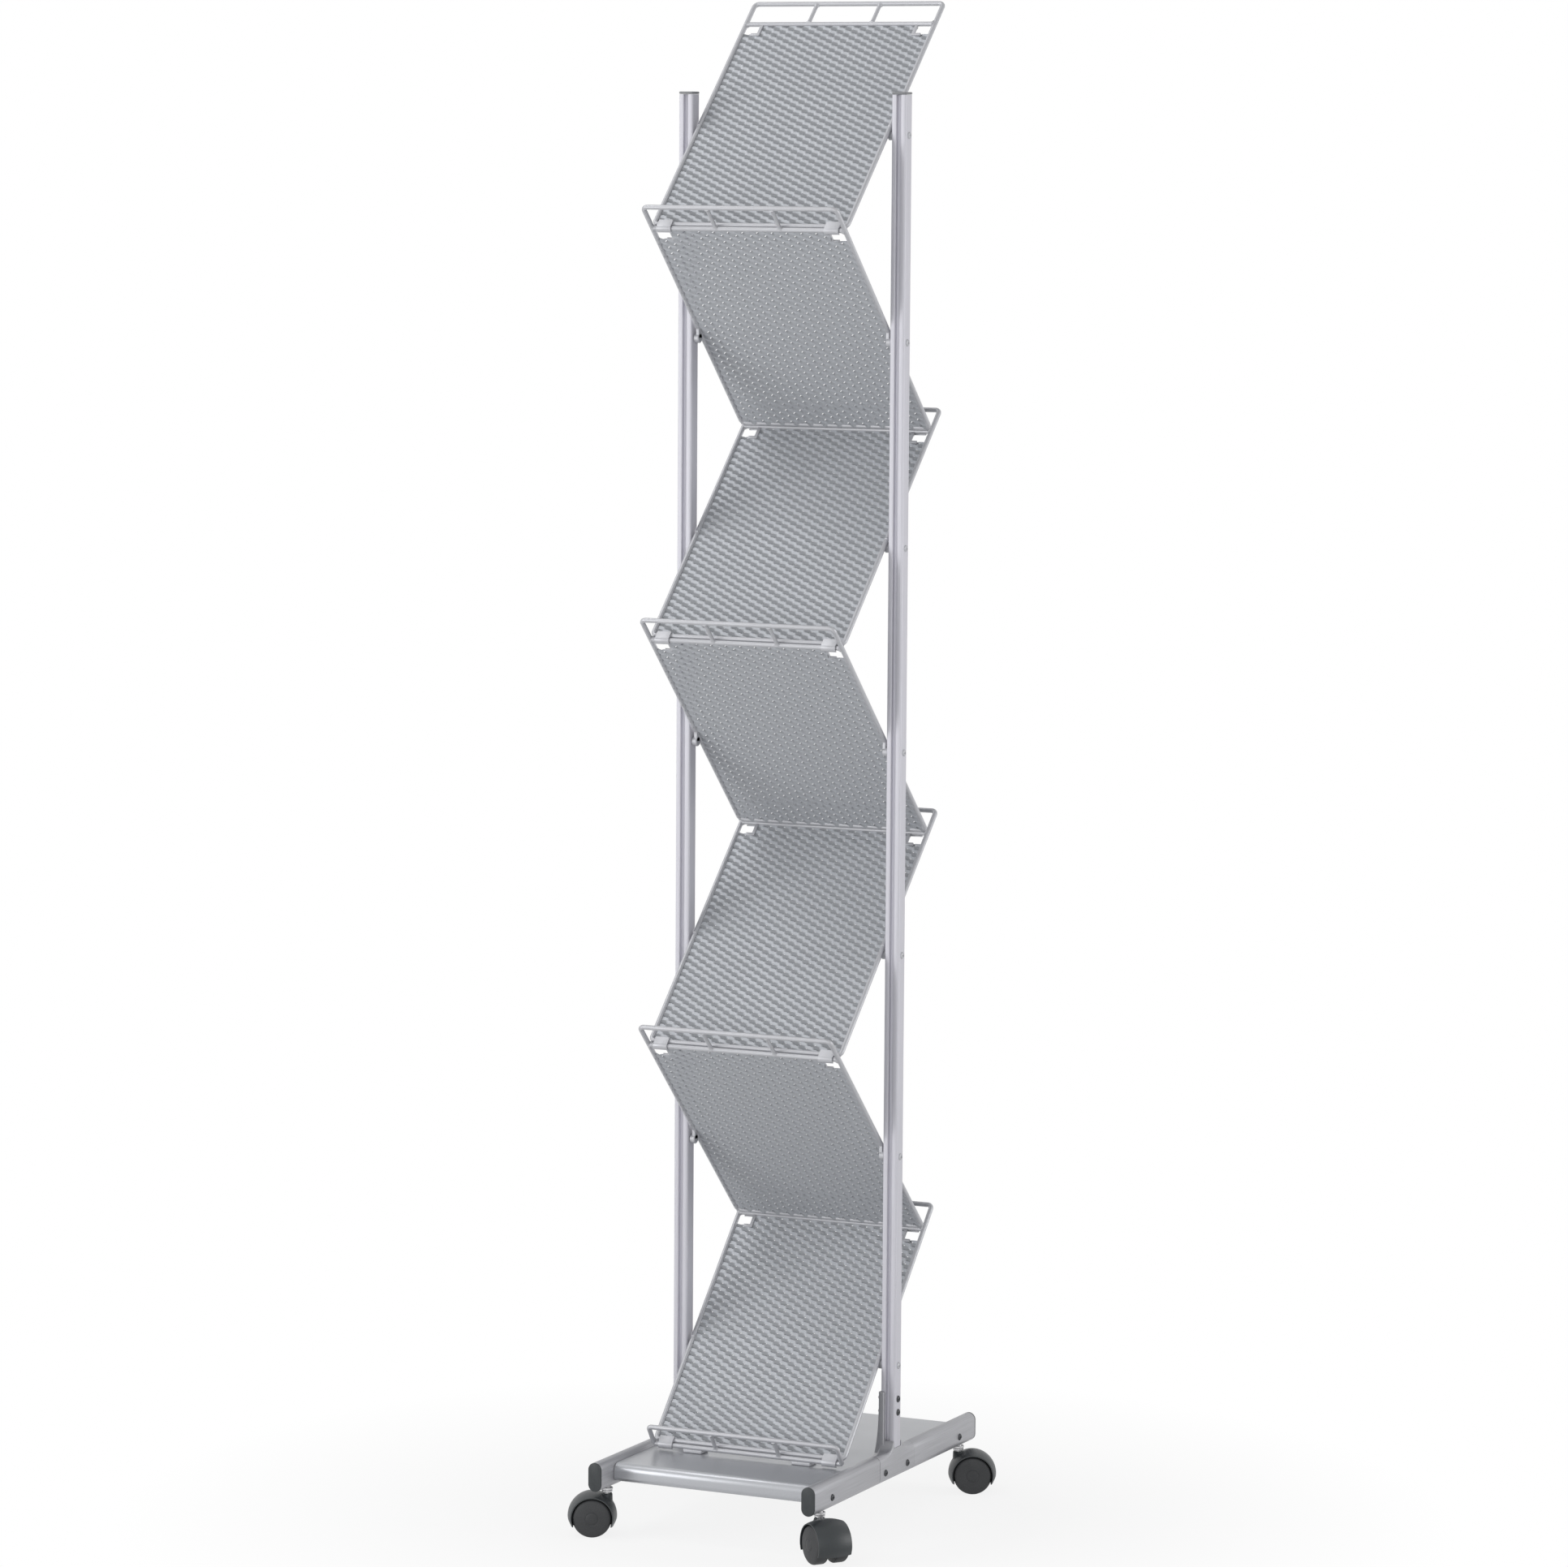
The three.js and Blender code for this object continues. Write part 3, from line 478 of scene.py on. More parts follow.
def diamond_net(length):
    """Expanded metal on (u, v, lift). With c = cos a and s = sin a the rim of a cell is (A c|c|,
    B s|s|), a rhombus whose points match its neighbours'. The hole is a rounder rhombus of c|c|^p and
    s|s|^p, drawn in by one share across the strands that rise to the right and by another across
    those that fall. Rising strands sag by SAG * sin 2a and twist by LIFT * s * sin 2a, and falling
    strands stay flat. The lower layer is the upper one moved down by the gauge. The third array is
    the painted light: one on the falling strands and less in the recesses between them, where it
    paints shade, with less difference below."""
    A, B = LONG_WAY / 2, SHORT_WAY / 2
    columns = np.arange(-COLUMN_REACH, COLUMN_REACH + 1)
    rows = np.arange(-SPARE_ROWS, int(length / B) + SPARE_ROWS + 1)
    i, j = np.meshgrid(columns, rows)
    keep = (i + j) % 2 == 0
    centre = np.stack([A * i[keep], B * j[keep], 0 * i[keep]], 1)
    a = 2 * np.pi * np.arange(DIAMOND_POINTS) / DIAMOND_POINTS
    c, s = np.cos(a), np.sin(a)
    rising = np.maximum(np.sin(2 * a), 0)
    rim = np.stack([A * c * abs(c), B * s * abs(s), -SAG * rising], 1)
    power = 2 / HOLE_CURVE - 1
    u, v = c * abs(c) ** power, s * abs(s) ** power
    across, along = RISING_GAP * (u + v), FALLING_GAP * (u - v)
    hole = np.stack([A * (across + along) / 2, B * (across - along) / 2, (LIFT * s - SAG) * rising], 1)
    layers = np.stack([rim, hole, hole - GAUGE * Z_AXIS, rim - GAUGE * Z_AXIS])
    points = (centre[:, None, None] + layers[None]).reshape(-1, 3)
    n = DIAMOND_POINTS
    p = np.arange(n)
    q = (p + 1) % n
    quads = [np.stack([p + n * r, q + n * r, q + n * (r + 1), p + n * (r + 1)], 1) for r in range(3)]
    cell = np.concatenate(quads)
    faces = (4 * n * np.arange(len(centre)))[:, None, None] + cell[None]
    # Painted light for each point: full on the falling strands, painted shade on the sunk rising strands,
    # milder on the lower layer.
    back = BACK_PAINTED_SHADE + (BACK_PAINTED_LIGHT - BACK_PAINTED_SHADE) * (1 - rising)
    painted_light = np.tile(np.concatenate([1 - rising, 1 - rising, back, back]), len(centre))
    return points, faces.reshape(-1, 4), painted_light


def trimmed_sheet(length):
    """The net cut to the frame: bisected along its borders and the two upper notches, with the cut
    ends of the strands closed again."""
    points, faces, painted_light = diamond_net(length)
    mesh = bpy.data.meshes.new("expanded_sheet")
    mesh.from_pydata(points.tolist(), [], faces.tolist())
    # The painted light rides on the points as an attribute; the mesh finish turns it into painted shade.
    mesh.attributes.new("painted_light", "FLOAT", "POINT").data.foreach_set("value", painted_light)
    bm = bmesh.new()
    bm.from_mesh(mesh)
    bmesh.ops.remove_doubles(bm, verts=bm.verts, dist=SHARED_DISTANCE)
    borders = [((SHEET_HALF, 0, 0), (1, 0, 0)), ((-SHEET_HALF, 0, 0), (-1, 0, 0)),
               ((0, SHEET_TOP, 0), (0, -1, 0)), ((0, length - SHEET_SETBACK, 0), (0, 1, 0))]
    notches = [((NOTCH_U, 0, 0), (1, 0, 0)), ((-NOTCH_U, 0, 0), (-1, 0, 0)),
               ((0, NOTCH_V, 0), (0, -1, 0))]
    for index, (place, normal) in enumerate(borders + notches):
        bmesh.ops.bisect_plane(bm, geom=[*bm.verts, *bm.edges, *bm.faces], dist=CUT_DISTANCE,
                               plane_co=place, plane_no=normal, clear_outer=index < len(borders))
    middles = np.array([face.calc_center_median() for face in bm.faces])
    cut = (abs(middles[:, 0]) > NOTCH_U) & (middles[:, 1] < NOTCH_V)
    doomed = [face for face, gone in zip(bm.faces, cut) if gone]
    bmesh.ops.delete(bm, geom=doomed, context="FACES")
    bmesh.ops.holes_fill(bm, edges=[edge for edge in bm.edges if edge.is_boundary], sides=0)
    bm.to_mesh(mesh)
    bm.free()
    return mesh


def set_sheet(k, flat):
    """Copies a flat sheet into panel k's slope: origin + u * across + v * down + lift * up."""
    origin, axes, _ = slopes[k]
    mesh = flat.copy()
    points = np.empty(3 * len(mesh.vertices), np.float32)
    mesh.vertices.foreach_get("co", points)
    points = (points.reshape(-1, 3) @ axes + origin) * MM
    mesh.vertices.foreach_set("co", points.ravel())
    tidy_mesh(mesh, STRAND_ANGLE)
    return dress(f"expanded_sheet_{k + 1}", mesh, silver_mesh,
                 [f"mesh_sheet_{k + 1}"], "rack")


long_sheet = trimmed_sheet(slopes[0][2])
short_sheet = trimmed_sheet(slopes[-1][2])
for k in range(PANELS):
    made = set_sheet(k, short_sheet if k == PANELS - 1 else long_sheet)
print("expanded sheets:", PANELS, "with", len(made.data.polygons), "faces in the last")

# %% [markdown]
# ## The lip on the base plate
# The lowest pocket is closed by a short lip of its own: a loop with two posts on two welded tabs. It
# could be a copy of a panel's lip, but it leans and ends differently, so the same two rod formulas draw
# it on its own slope.

# %% Foot lip
PLATE_TOP = 75.0
LIP_TOP_CORNER, LIP_LOW_CORNER = 3.5, 3.0
LIP_TAB_X, LIP_TAB_LOW, LIP_TAB_HIGH = 62.0, 0.3, 3.7
LIP_TAB_RIM, LIP_TAB_CORNER = 0.6, 2.0
lip_tab_outline = rounded([(-11, -4), (11, -4), (11, 13), (-11, 13)], LIP_TAB_CORNER)
lip_origin, lip_axes, lip_height = slope(FOOT_LIP_TOP, FOOT_JOINT)
lip_skins = [bent_loop(SIDE_ROD_X, 0, lip_height, LIP_TOP_CORNER, LIP_LOW_CORNER, ROD_RADIUS)]
for side in (-1, 1):
    post = side * LIP_POST_X
    lip_skins.append(welded_bar((post, 0, 0), (post, lip_height, 0), POST_RADIUS, ROD_RADIUS))
lip_skins = [placed(skin, lip_origin, lip_axes) for skin in lip_skins]
for side in (-1, 1):
    lip_tab = plate(lip_tab_outline, LIP_TAB_LOW, LIP_TAB_HIGH, LIP_TAB_RIM)
    lip_skins.append(placed(lip_tab, (side * LIP_TAB_X, FOOT_JOINT[0], PLATE_TOP), WORLD))
piece("foot_lip_wire", lip_skins, silver_paint, ["foot_lip"])
print("foot lip height on its slope:", round(lip_height, 1), "mm")

# %% [markdown]
# ## Uprights
# The uprights are extrusions with a groove in front and behind. A box with two cuts and a bevel would
# come close. The groove's soft lips catch the light as thin lines, so the outline has a radius at each
# of its twelve corners and is pushed up the whole height.

# %% Uprights and their caps
SIDES = {"left": -1, "right": 1}
UPRIGHT_X, UPRIGHT_LOW, UPRIGHT_HIGH = 120.0, 83.0, 1470.0
UPRIGHT_HALF, UPRIGHT_RIM = 8.0, 0.3
GROOVE_MOUTH, GROOVE_ROOT, GROOVE_FLOOR = 2.4, 2.2, 3.6
EDGE_RADIUS, MOUTH_RADIUS, ROOT_RADIUS = 2.2, 1.0, 0.7
LID_HALF, LID_CORNER, LID_RIM = 8.3, 2.4, 0.9
LID_LOW, LID_HIGH = UPRIGHT_HIGH + 0.3, UPRIGHT_HIGH + 2.7

h = UPRIGHT_HALF
groove = np.array([(GROOVE_MOUTH, h), (GROOVE_ROOT, GROOVE_FLOOR),
                   (-GROOVE_ROOT, GROOVE_FLOOR), (-GROOVE_MOUTH, h)])
upright_corners = np.concatenate([[(h, -h), (h, h)], groove, [(-h, h), (-h, -h)], -groove])
half_radii = [EDGE_RADIUS, EDGE_RADIUS, MOUTH_RADIUS, ROOT_RADIUS, ROOT_RADIUS, MOUTH_RADIUS]
upright_outline = rounded(upright_corners, half_radii * 2)
lid_outline = rounded(LID_HALF * SQUARE, LID_CORNER)
for word, side in SIDES.items():
    column = plate(upright_outline, UPRIGHT_LOW, UPRIGHT_HIGH, UPRIGHT_RIM)
    column = placed(column, (side * UPRIGHT_X, 0, 0), WORLD)
    piece(f"grooved_upright_{word}", [column], drawn_upright, [f"upright_{word}"])
    lid = plate(lid_outline, LID_LOW, LID_HIGH, LID_RIM)
    lid = placed(lid, (side * UPRIGHT_X, 0, 0), WORLD)
    piece(f"upright_lid_{word}", [lid], lid_plastic, [f"upright_cap_{word}"])
print("upright outline points:", len(upright_outline))

# %% [markdown]
# ## Screws
# Every screw has a pan head with a cross recess. A boolean could cut the cross, but the head is easier
# as a height over the disc: a dome less a recess where either bar of the cross lies.

# %% Screw heads
HEAD_RADIUS, HEAD_HEIGHT, HEAD_SINK, HEAD_POINTS = 3.6, 1.9, 0.6, 32
HEAD_RINGS = np.array([1, 1, 0.96, 0.88, 0.76, 0.64, 0.55, 0.47, 0.38, 0.29, 0.2, 0.1, 0])[:, None]
CROSS_HALF, CROSS_REACH, CROSS_DEPTH = 0.17, 0.58, 0.7
BAR_EASE, REACH_EASE = 0.08, 0.1
OUTER_WALL, HEAD_SEAM = 128.0, 0.1


def pan_head(centre, side):
    """Head on a wall that faces +X or -X. At share rho of the radius the dome is height * (1 - 0.45
    rho^2 - 0.4 rho^8), and the cross is cut where |x| or |y| is under an eighth of the radius, out to
    half of it."""
    rho = HEAD_RINGS
    a = 2 * np.pi * np.arange(HEAD_POINTS)[None, :] / HEAD_POINTS
    x, y = rho * np.cos(a), rho * np.sin(a)
    dome = HEAD_HEIGHT * (1 - 0.45 * rho ** 2 - 0.4 * rho ** 8)
    bar = smooth((CROSS_HALF - np.minimum(abs(x), abs(y))) / BAR_EASE)
    cut = CROSS_DEPTH * HEAD_HEIGHT * bar * smooth((CROSS_REACH - rho) / REACH_EASE)
    lift = dome - cut
    lift[0] = -HEAD_SINK
    points = np.stack([side * lift, HEAD_RADIUS * x, HEAD_RADIUS * y], 2)
    return net(points + np.asarray(centre, float))


for word, side in SIDES.items():
    for k in range(PANELS):
        head = pan_head((side * (OUTER_WALL + HEAD_SEAM), 0, lug_height(k)), side)
        piece(f"panel_screw_head_{k + 1}_{word}", [head], silver_paint,
              [f"panel_screw_{k + 1}_{word}"])
print("panel screws:", 2 * PANELS)

# %% [markdown]
# ## Rails
# A rail is a flat-oval tube with a plastic cap. A cylinder stretched to an oval would lose the flat
# sides, so the section is a rectangle with corners as round as its width allows, pushed along the rail.

# %% Rails and caps
RAIL_X, RAIL_Z, RAIL_HALF_WIDTH, RAIL_HALF_HEIGHT = 120.5, 65.0, 7.5, 15.0
RAIL_CORNER, RAIL_RIM = RAIL_HALF_WIDTH - 0.02, 0.5
FOOT_HALF, RAIL_END, SEAM = 42.0, 200.3, 0.3
CAP_SEAT, CAP_FLANGE, CAP_RIM = 2.0, 2.2, 1.0
ALONG_Y = [[1, 0, 0], [0, 0, 1], [0, 1, 0]]
ENDS = {"front": -1, "rear": 1}

oval = rounded(SQUARE * (RAIL_HALF_WIDTH, RAIL_HALF_HEIGHT), RAIL_CORNER, steps=10)
for word, side in SIDES.items():
    for place, end in ENDS.items():
        low, high = sorted((end * (FOOT_HALF + SEAM), end * (RAIL_END - CAP_SEAT - SEAM)))
        tube = placed(plate(oval, low, high, RAIL_RIM), (side * RAIL_X, 0, RAIL_Z), ALONG_Y)
        piece(f"oval_rail_{place}_{word}", [tube], drawn_rail,
              [f"rail_{place}_{word}"])
        low, high = sorted((end * (RAIL_END - CAP_FLANGE), end * RAIL_END))
        lid = placed(plate(oval, low, high, CAP_RIM, steps=5), (side * RAIL_X, 0, RAIL_Z), ALONG_Y)
        piece(f"oval_cap_{place}_{word}", [lid], charcoal,
              [f"rail_cap_{place}_{word}"])
print("rails and caps: 4 of each")

# %% [markdown]
# ## Feet
# A foot joins two rails and holds the upright in a sleeve round its inner half. Boxes joined by a
# boolean and bevelled would do, but the fillets change their form along the rail. So the lower part is
# the rail's section, whose height and upper corner radius follow formulas, and the sleeve is a plan
# carried down with a flare.

# %% Feet
FRONT_FILLET, REAR_FILLET, FILLET_Y, RAIL_TOP = 10.0, 8.0, 10.0, 80.0
STRAIGHT = [FOOT_HALF, 38.0, 34.0]
CREST_RADIUS, CREST_Y, CREST_EASE = 1.0, 10.0, 22.0
SOCKET_HALF, SOCKET_FLOOR, SOCKET_PLAY = 8.3, 82.7, 0.05
SLEEVE_TOP, SLEEVE_LOW, SLEEVE_FLARE, SLEEVE_RIM = 141.0, 76.4, 4.6, 0.4
SLEEVE_INNER, SLEEVE_SEAT, SLEEVE_LIP, SLEEVE_HALF = 110.8, 111.9, 117.4, 11.4
SLEEVE_RADII = [1.8, 1.8, 1.2, 0.6, 0.2, 0.2, 0.6, 1.2]
SLEEVE_START, SLEEVE_ROWS = 2.0, 18
FILLET_POINTS, CORNER_POINTS, RIM_POINTS = 13, 9, 5


def climb(radius):
    """Distance from the upright and height of one side of a foot, from its end to the socket: level,
    then a quarter circle with away = r * (1 - sin a) and rise = r * (1 - cos a)."""
    a = np.radians(np.linspace(0, 90, FILLET_POINTS))
    away = np.concatenate([STRAIGHT, FILLET_Y + radius * (1 - np.sin(a)), [SOCKET_HALF + SOCKET_PLAY]])
    rise = np.concatenate([[0, 0, 0], radius * (1 - np.cos(a)), [radius]])
    return away, RAIL_TOP + rise


def foot_body():
    """Sections along Y. Each is a box with round corners: the lower two keep the rail's radius, and
    the upper two shrink from that radius to one millimetre while the top climbs the fillet."""
    (front, front_top), (rear, rear_top) = climb(FRONT_FILLET), climb(REAR_FILLET)
    y = np.concatenate([-front, [-SOCKET_HALF, SOCKET_HALF], rear[::-1]])[:, None]
    t = np.concatenate([front_top, [SOCKET_FLOOR] * 2, rear_top[::-1]])[:, None]
    r = CREST_RADIUS + (RAIL_CORNER - CREST_RADIUS) * smooth((abs(y) - CREST_Y) / CREST_EASE)
    b = np.radians(np.linspace(0, 90, CORNER_POINTS))
    c, s = np.cos(b)[None, :], np.sin(b)[None, :]
    low_x = np.full_like(r, RAIL_HALF_WIDTH - RAIL_CORNER)
    low_z = np.full_like(r, RAIL_Z - RAIL_HALF_HEIGHT + RAIL_CORNER)
    top_x, top_z = RAIL_HALF_WIDTH - r, t - r
    big_c, big_s = RAIL_CORNER * c, RAIL_CORNER * s
    x = np.concatenate([top_x + r * c, -top_x - r * s, -low_x - big_c, low_x + big_s], 1)
    z = np.concatenate([top_z + r * s, top_z + r * c, low_z - big_s, low_z - big_c], 1)
    return net(np.stack([x, np.broadcast_to(y, x.shape), z], 2))


def sleeve(side):
    """Plan (x, y) of a channel round the upright's inner half, carried down from its top. At share t
    of the way down, the inner wall runs in by flare * t^3, so it spreads over the base plate."""
    h, seat = SLEEVE_HALF, SOCKET_HALF - SOCKET_PLAY
    corners = [(SLEEVE_INNER, h), (SLEEVE_INNER, -h), (SLEEVE_LIP, -h), (SLEEVE_LIP, -seat),
               (SLEEVE_SEAT, -seat), (SLEEVE_SEAT, seat), (SLEEVE_LIP, seat), (SLEEVE_LIP, h)]
    plan = rounded(corners, SLEEVE_RADII)
    a = np.linspace(0, np.pi / 2, RIM_POINTS)
    fall = np.linspace(SLEEVE_START, SLEEVE_TOP - SLEEVE_LOW, SLEEVE_ROWS)
    depth = np.concatenate([SLEEVE_RIM * (1 - np.cos(a)), fall])
    draw = np.concatenate([SLEEVE_RIM * (1 - np.sin(a)), 0 * fall])
    ring = plan[None] + draw[:, None, None] * inward(plan)[None]
    t = depth[:, None] / (SLEEVE_TOP - SLEEVE_LOW)
    wall = np.clip((SLEEVE_SEAT - ring[..., 0]) / (SLEEVE_SEAT - SLEEVE_INNER), 0, 1)
    x = side * (ring[..., 0] - SLEEVE_FLARE * t ** 3 * wall)
    z = np.broadcast_to(SLEEVE_TOP - depth[:, None], x.shape)
    return net(np.stack([x, ring[..., 1], z], 2))


for word, side in SIDES.items():
    skins = [placed(foot_body(), (side * RAIL_X, 0, 0), WORLD), sleeve(side)]
    piece(f"foot_casting_{word}", skins, drawn_rail, [f"foot_bracket_{word}"])
print("feet: 2, fillets of", FRONT_FILLET, "mm in front and", REAR_FILLET, "mm behind")

# %% [markdown]
# ## Screws of the base
# Blackened screws hold the rails and the uprights to the feet, and two of them end in nuts on each
# sleeve. Linked copies of one head would do as well. The CAD has no nodes for them, so each side has
# three small groups that replace nothing: foot screws, rail screws and nuts.

# %% Foot and rail screws
FOOT_SCREWS = [(-29, 61), (25, 61), (0, 133), (0, 119)]
RAIL_SCREWS = [(-158, 62), (158, 62)]
NUT_RADIUS, NUT_CORNER, NUT_HEIGHT, NUT_RIM = 3.6, 0.3, 3.0, 0.5
hexagon = rounded(ray(NUT_RADIUS, 0, 300, steps=5), NUT_CORNER, steps=2)
bolt_end = [(0, 0), (1.9, 0), (1.9, 4.0), (1.5, 4.4), (0, 4.5)]
for word, side in SIDES.items():
    heads = [pan_head((side * OUTER_WALL, y, z), side) for y, z in FOOT_SCREWS]
    piece(f"foot_screw_heads_{word}", heads, black_oxide)
    heads = [pan_head((side * OUTER_WALL, y, z), side) for y, z in RAIL_SCREWS]
    piece(f"rail_screw_heads_{word}", heads, black_oxide)
    facing_in = [[0, 1, 0], [0, 0, 1], [-side, 0, 0]]
    nuts = []
    for y, z in FOOT_SCREWS[2:]:
        seat = (side * SLEEVE_INNER, y, z)
        nuts.append(placed(plate(hexagon, 0, NUT_HEIGHT, NUT_RIM), seat, facing_in))
        nuts.append(turned(bolt_end, seat, (-side, 0, 0), sides=16))
    piece(f"sleeve_nuts_{word}", nuts, black_oxide)
print("foot and rail screws:", 2 * (len(FOOT_SCREWS) + len(RAIL_SCREWS)))

# %% [markdown]
# ## Base plate
# The plate is one sheet whose front and rear edges are rolled down and in. A bent surface with a
# solidify modifier would look the same. Here the bent strip is drawn once from the side and pushed
# across the rack, which keeps the gauge even round the rolls.

# %% Base plate
PLATE_HALF, PLATE_GAUGE, PLATE_EDGE, PLATE_LOW = 112.6, 1.6, 172.0, 56.0
PLATE_RETURN, FOLD_RADIUS, NOSE_RADIUS, PLATE_RIM = 156.0, 4.5, 7.6, 0.3
edge = PLATE_EDGE - PLATE_GAUGE / 2
top, low = PLATE_TOP - PLATE_GAUGE / 2, PLATE_LOW + PLATE_GAUGE / 2
rear_half = [(edge, top), (edge, low), (PLATE_RETURN, low)]
front_half = [(-y, z) for y, z in rear_half[::-1]]
plate_radii = [1, FOLD_RADIUS, NOSE_RADIUS, NOSE_RADIUS, FOLD_RADIUS, 1]
plate_path = rounded(front_half + rear_half, plate_radii, steps=14, closed=False)
sheet = plate(strip(plate_path, PLATE_GAUGE), -PLATE_HALF, PLATE_HALF, PLATE_RIM)
piece("rolled_base_plate", [placed(sheet, (0, 0, 0), FACING_X)], silver_plate,
      ["base_plate"])
print("base plate:", 2 * PLATE_EDGE, "mm from nose to nose")

# %% [markdown]
# ## Casters
# A twin-wheel caster is a hood with a wheel on each side of its web. The hood is a crescent section
# carried round the axle: it is thickest in the middle of its width, which makes it ball-like, and thins
# at both ends. A scaled sphere would have no such ends. The wheels are turned, and the neck's lower
# ring lies on the hood.

# %% Caster pieces
CASTER_Y, TRAIL, HUB_Z = 172.0, 15.0, 20.0
HOOD_RADIUS, HOOD_INNER, HOOD_HALF, HOOD_FALL = 25.4, 20.9, 18.6, 3.4
HOOD_START, HOOD_END, HOOD_THIN, HOOD_EASE = -24.0, 204.0, 0.7, 22.0
POINTS_ACROSS, POINTS_ROUND, NECK_POINTS = 21, 49, 48
WEB_HALF, WEB_RADIUS, WEB_DROP, WEB_RIM = 4.8, HOOD_INNER + 1.2, 6.0, 0.6
NECK_RADIUS, NECK_TOP, NECK_POWER = 5.6, 23.4, 1.7
NECK_OVER, NECK_ASIDE, NECK_BEHIND = 5.5, 8.5, 1.0
NECK_SHARES = np.array([0, 0.1, 0.2, 0.32, 0.46, 0.62, 0.8, 0.93, 1.0, 1.0])[:, None]
NECK_CLOSING = np.array([1, 1, 1, 1, 1, 1, 1, 1, 0.93, 0.4])[:, None]
CASTERS = {
    "front_left": (-1, -1, 205.6),
    "front_right": (1, -1, -38.4),
    "rear_left": (-1, 1, 141.6),
    "rear_right": (1, 1, 25.6),
}
wheel_profile = [(0, 5.2), (18.6, 5.2), (19.5, 5.6), (20, 6.6), (20, 15.2), (19.7, 16.4), (19, 17.4),
                 (18, 18.1), (16.4, 18.55), (14, 18.8), (10, 19.25), (7.2, 19.5), (6.9, 19.3),
                 (6.5, 19.3), (6.2, 19.55), (4, 19.8), (2, 19.88), (0, 19.9)]
stem_profile = [(0, 36), (3.5, 36), (3.5, 44.6), (5.2, 44.6), (5.6, 45), (5.6, 46.4), (4.6, 46.8),
                (4.6, 47.4), (6, 47.6), (6, 49.2), (5.6, 49.6), (3.5, 49.6), (3.5, 56), (0, 56)]
web_outline = np.concatenate([[[0, -WEB_DROP]], ray(WEB_RADIUS, HOOD_START, HOOD_END, steps=30)])


def hood_shell():
    """Closed section (w, r) carried round the axle. Outside, r falls from the hood's radius by the
    square of the share of its width; inside it is constant. Near both ends the section thins by an
    S-curve of the angle that is left."""
    share = np.linspace(-1, 1, POINTS_ACROSS)
    inside = share[::-4]
    outer = HOOD_RADIUS - HOOD_FALL * share ** 2
    w = HOOD_HALF * np.concatenate([share, inside])
    rise = np.concatenate([outer - HOOD_INNER, 0 * inside])
    angle = np.linspace(HOOD_START, HOOD_END, POINTS_ROUND)
    left = np.minimum(angle - HOOD_START, HOOD_END - angle)
    thin = HOOD_THIN + (1 - HOOD_THIN) * smooth(left / HOOD_EASE)
    r = HOOD_INNER + thin[:, None] * rise[None, :]
    a = np.radians(angle)[:, None]
    return net(np.stack([r * np.cos(a), np.broadcast_to(w[None, :], r.shape), r * np.sin(a)], 2))


def neck():
    """Rings from the hood to the top of the neck, widening by (1 - t)^1.7 on the way down: most to
    the sides, less over the hood and hardly behind it. The lowest ring lies in the hood: for a point b
    before the axle its height is the square root of the web's radius squared less b squared."""
    a = 2 * np.pi * np.arange(NECK_POINTS) / NECK_POINTS
    t, close = NECK_SHARES, NECK_CLOSING
    spread = (1 - t) ** NECK_POWER
    along = np.where(np.cos(a) > 0, NECK_OVER, NECK_BEHIND) * spread
    b = -TRAIL + close * (NECK_RADIUS + along) * np.cos(a)
    w = close * (NECK_RADIUS + NECK_ASIDE * spread) * np.sin(a)
    rest = np.sqrt(WEB_RADIUS ** 2 - b[:1] ** 2)
    return net(np.stack([b, w, rest + (NECK_TOP - rest) * t], 2))


for word, (side, end, heading) in CASTERS.items():
    back = np.array([math.cos(math.radians(heading)), math.sin(math.radians(heading)), 0])
    axle = np.array([-back[1], back[0], 0])
    stand = np.array([side * RAIL_X, end * CASTER_Y, 0])
    hub = stand + TRAIL * back + HUB_Z * Z_AXIS
    pin = turned(stem_profile, stand, Z_AXIS)
    piece(f"caster_pin_{word}", [pin], zinc_steel, [f"caster_stem_{word}"])
    skins = [placed(skin, hub, [back, axle, Z_AXIS]) for skin in (hood_shell(), neck())]
    web = plate(web_outline, -WEB_HALF, WEB_HALF, WEB_RIM)
    skins.append(placed(web, hub, [back, Z_AXIS, axle]))
    piece(f"caster_cover_{word}", skins, charcoal, [f"caster_hood_{word}"],
          f"caster_{word}")
    for letter, face in (("a", -1), ("b", 1)):
        wheel = turned(wheel_profile, hub, face * axle, sides=64)
        piece(f"caster_disc_{word}_{letter}", [wheel], wheel_plastic,
              [f"caster_wheel_{word}_{letter}"], f"wheel_{word}_{letter}")
print("casters:", len(CASTERS))

# %% [markdown]
# ## Camera
# The camera was solved from the picture: its direction, roll, distance and focal length in pixels. A
# sensor of 36 mm over 1932 pixels turns the focal length into millimetres.

# %% Camera
YAW, PITCH, ROLL = map(math.radians, (25.609, 6.191, 0.378))
CAMERA_PLACE = (2.60595, -5.45159, 1.42057)
FOCAL_PIXELS, IMAGE_WIDTH, SENSOR, FARTHEST = 7272.82, 1932, 36.0, 60
ahead = Vector((-math.sin(YAW) * math.cos(PITCH), math.cos(YAW) * math.cos(PITCH), -math.sin(PITCH)))
level = Vector((math.cos(YAW), math.sin(YAW), 0))
above = level.cross(ahead)
right = math.cos(ROLL) * level + math.sin(ROLL) * above
upward = math.cos(ROLL) * above - math.sin(ROLL) * level
turn = Matrix((right, upward, -ahead)).transposed().to_4x4()
camera = bpy.data.objects.new("camera", bpy.data.cameras.new("camera"))
bpy.context.collection.objects.link(camera)
camera.matrix_world = Matrix.Translation(CAMERA_PLACE) @ turn
camera.data.sensor_width = SENSOR
camera.data.lens = FOCAL_PIXELS / IMAGE_WIDTH * SENSOR
camera.data.clip_end = FARTHEST
bpy.context.scene.camera = camera
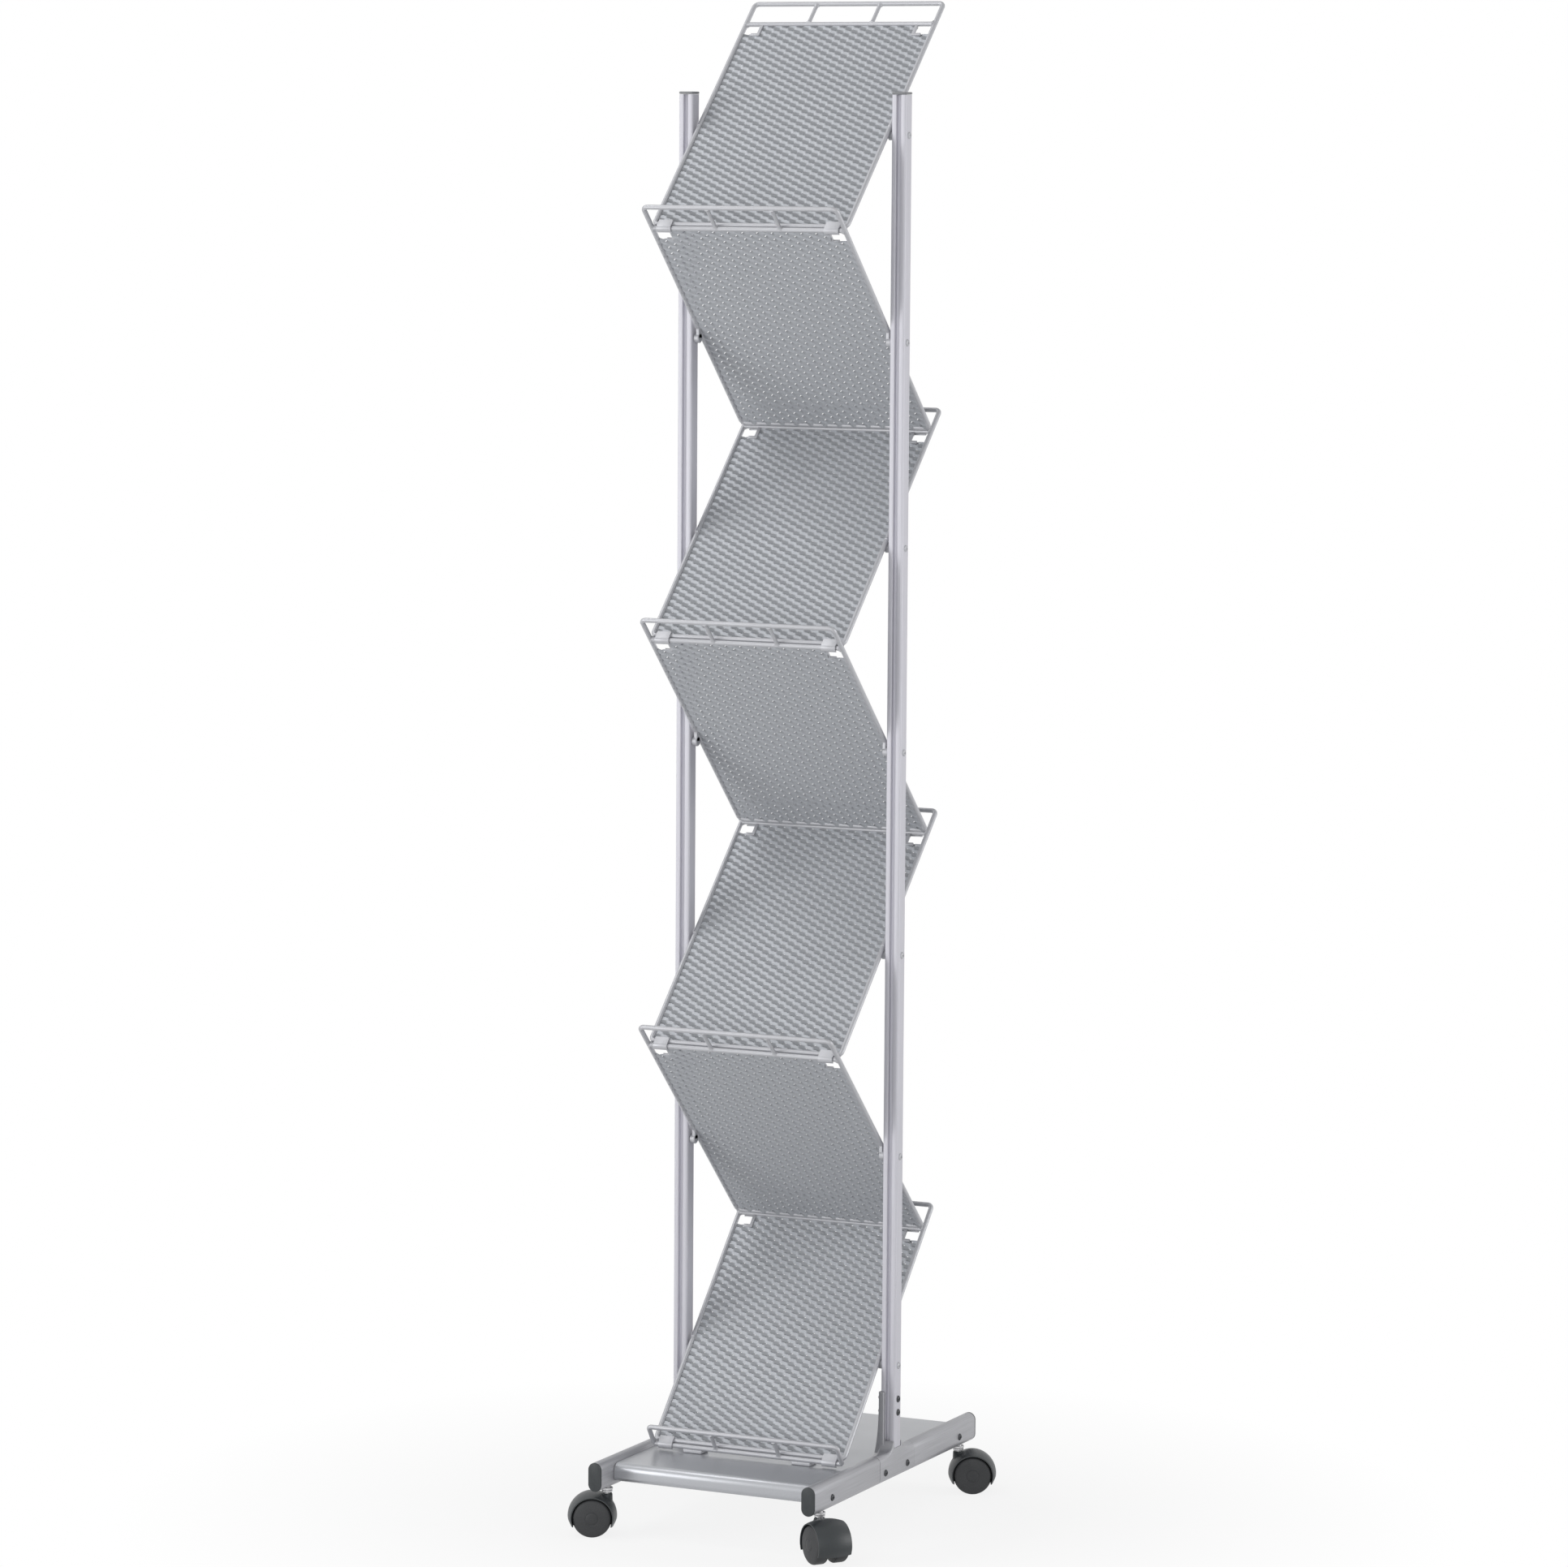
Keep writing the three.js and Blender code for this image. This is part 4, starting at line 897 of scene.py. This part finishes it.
print("lens:", round(camera.data.lens, 1), "mm")

# %% [markdown]
# ## Studio
# Four soft lamps light the rack: a broad key from the front left, a fill from the front right, one
# from the right and behind, and a small one above. The world and the floor are white to the camera and
# to reflections, and the floor keeps a soft shadow near the casters.

# %% Lamps, floor and world
LAMP_AIM = (0, 0, 0.8)
LAMPS = {
    "key": ((-3.6, -3.8, 1.4), 3.0, 105),
    "fill": ((1.4, -5.1, 1.4), 2.4, 65),
    "side": ((4.4, 1.6, 1.2), 2.4, 70),
    "top": ((-1.6, -0.6, 3.5), 1.0, 16),
}
WHITE, ROOM_LIGHT = (1, 1, 1, 1), 0.34
FLOOR_HALF, FLOOR_COLOUR = 6, (0.86, 0.86, 0.86, 1)
SHADOW_NEAR, SHADOW_FAR, SHADOW_WHITE = 0.25, 0.7, 0.85


def soft_lamp(name, place, size, watts):
    """A square area lamp that looks from its place to the aim."""
    lamp = bpy.data.lights.new(name, "AREA")
    lamp.size, lamp.energy = size, watts
    made = bpy.data.objects.new(name, lamp)
    made.location = place
    made.rotation_euler = (Vector(LAMP_AIM) - Vector(place)).to_track_quat("-Z", "Y").to_euler()
    bpy.context.collection.objects.link(made)


def white_to_the_eye(tree):
    """One where a ray comes from the camera, a reflection or a clear surface, and zero elsewhere."""
    rays = node(tree, "ShaderNodeLightPath").outputs
    seen = [(0, rays["Is Camera Ray"]), (1, rays["Is Glossy Ray"])]
    either = node(tree, "ShaderNodeMath", seen, operation="MAXIMUM").outputs[0]
    through = [(0, either), (1, rays["Is Transmission Ray"])]
    return node(tree, "ShaderNodeMath", through, operation="MAXIMUM").outputs[0]


def mixed(tree, share, first, second, output):
    """Mixes two shaders by a share and links the result to a new output node."""
    links = [("Fac", share), (1, first.outputs[0]), (2, second.outputs[0])]
    mix = node(tree, "ShaderNodeMixShader", links)
    node(tree, output, [("Surface", mix.outputs[0])])


for name, (place, size, watts) in LAMPS.items():
    soft_lamp(name, place, size, watts)

world = bpy.data.worlds.new("studio")
bpy.context.scene.world = world
world.use_nodes = True
tree = world.node_tree
tree.nodes.clear()
room = node(tree, "ShaderNodeBackground", Color=WHITE, Strength=ROOM_LIGHT)
backdrop = node(tree, "ShaderNodeBackground", Color=WHITE, Strength=1.0)
mixed(tree, white_to_the_eye(tree), room, backdrop, "ShaderNodeOutputWorld")

f = FLOOR_HALF
floor_mesh = bpy.data.meshes.new("floor")
floor_mesh.from_pydata([(-f, -f, 0), (f, -f, 0), (f, f, 0), (-f, f, 0)], [], [(0, 1, 2, 3)])
floor = bpy.data.objects.new("floor", floor_mesh)
bpy.context.collection.objects.link(floor)
floor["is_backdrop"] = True
pale = bpy.data.materials.new("pale_floor")
pale.use_nodes = True
floor_mesh.materials.append(pale)
tree = pale.node_tree
tree.nodes.clear()
matt = node(tree, "ShaderNodeBsdfDiffuse", Color=FLOOR_COLOUR)
glow = node(tree, "ShaderNodeEmission", Color=WHITE, Strength=1.0)
place = node(tree, "ShaderNodeTexCoord").outputs["Object"]
distance = node(tree, "ShaderNodeVectorMath", [(0, place)], operation="LENGTH").outputs["Value"]
fade = node(tree, "ShaderNodeMapRange", [("Value", distance)], From_Min=SHADOW_NEAR, From_Max=SHADOW_FAR,
            To_Min=SHADOW_WHITE, To_Max=1.0).outputs["Result"]
share = node(tree, "ShaderNodeMath", [(0, fade), (1, white_to_the_eye(tree))], operation="MULTIPLY")
mixed(tree, share.outputs[0], matt, glow, "ShaderNodeOutputMaterial")
bpy.context.scene.view_settings.view_transform = "Standard"
print("lamps:", len(LAMPS), "floor in metres:", tuple(floor.dimensions)[:2])

# %% [markdown]
# ## Size
# The box of the dressed rack, leaving out the floor, is measured and printed in metres.
# The dressed rack has to stay within the CAD model's box.

# %% Size and finish
low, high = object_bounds()
print("visual box in metres:", [round(v, 4) for v in (*low, *high)])
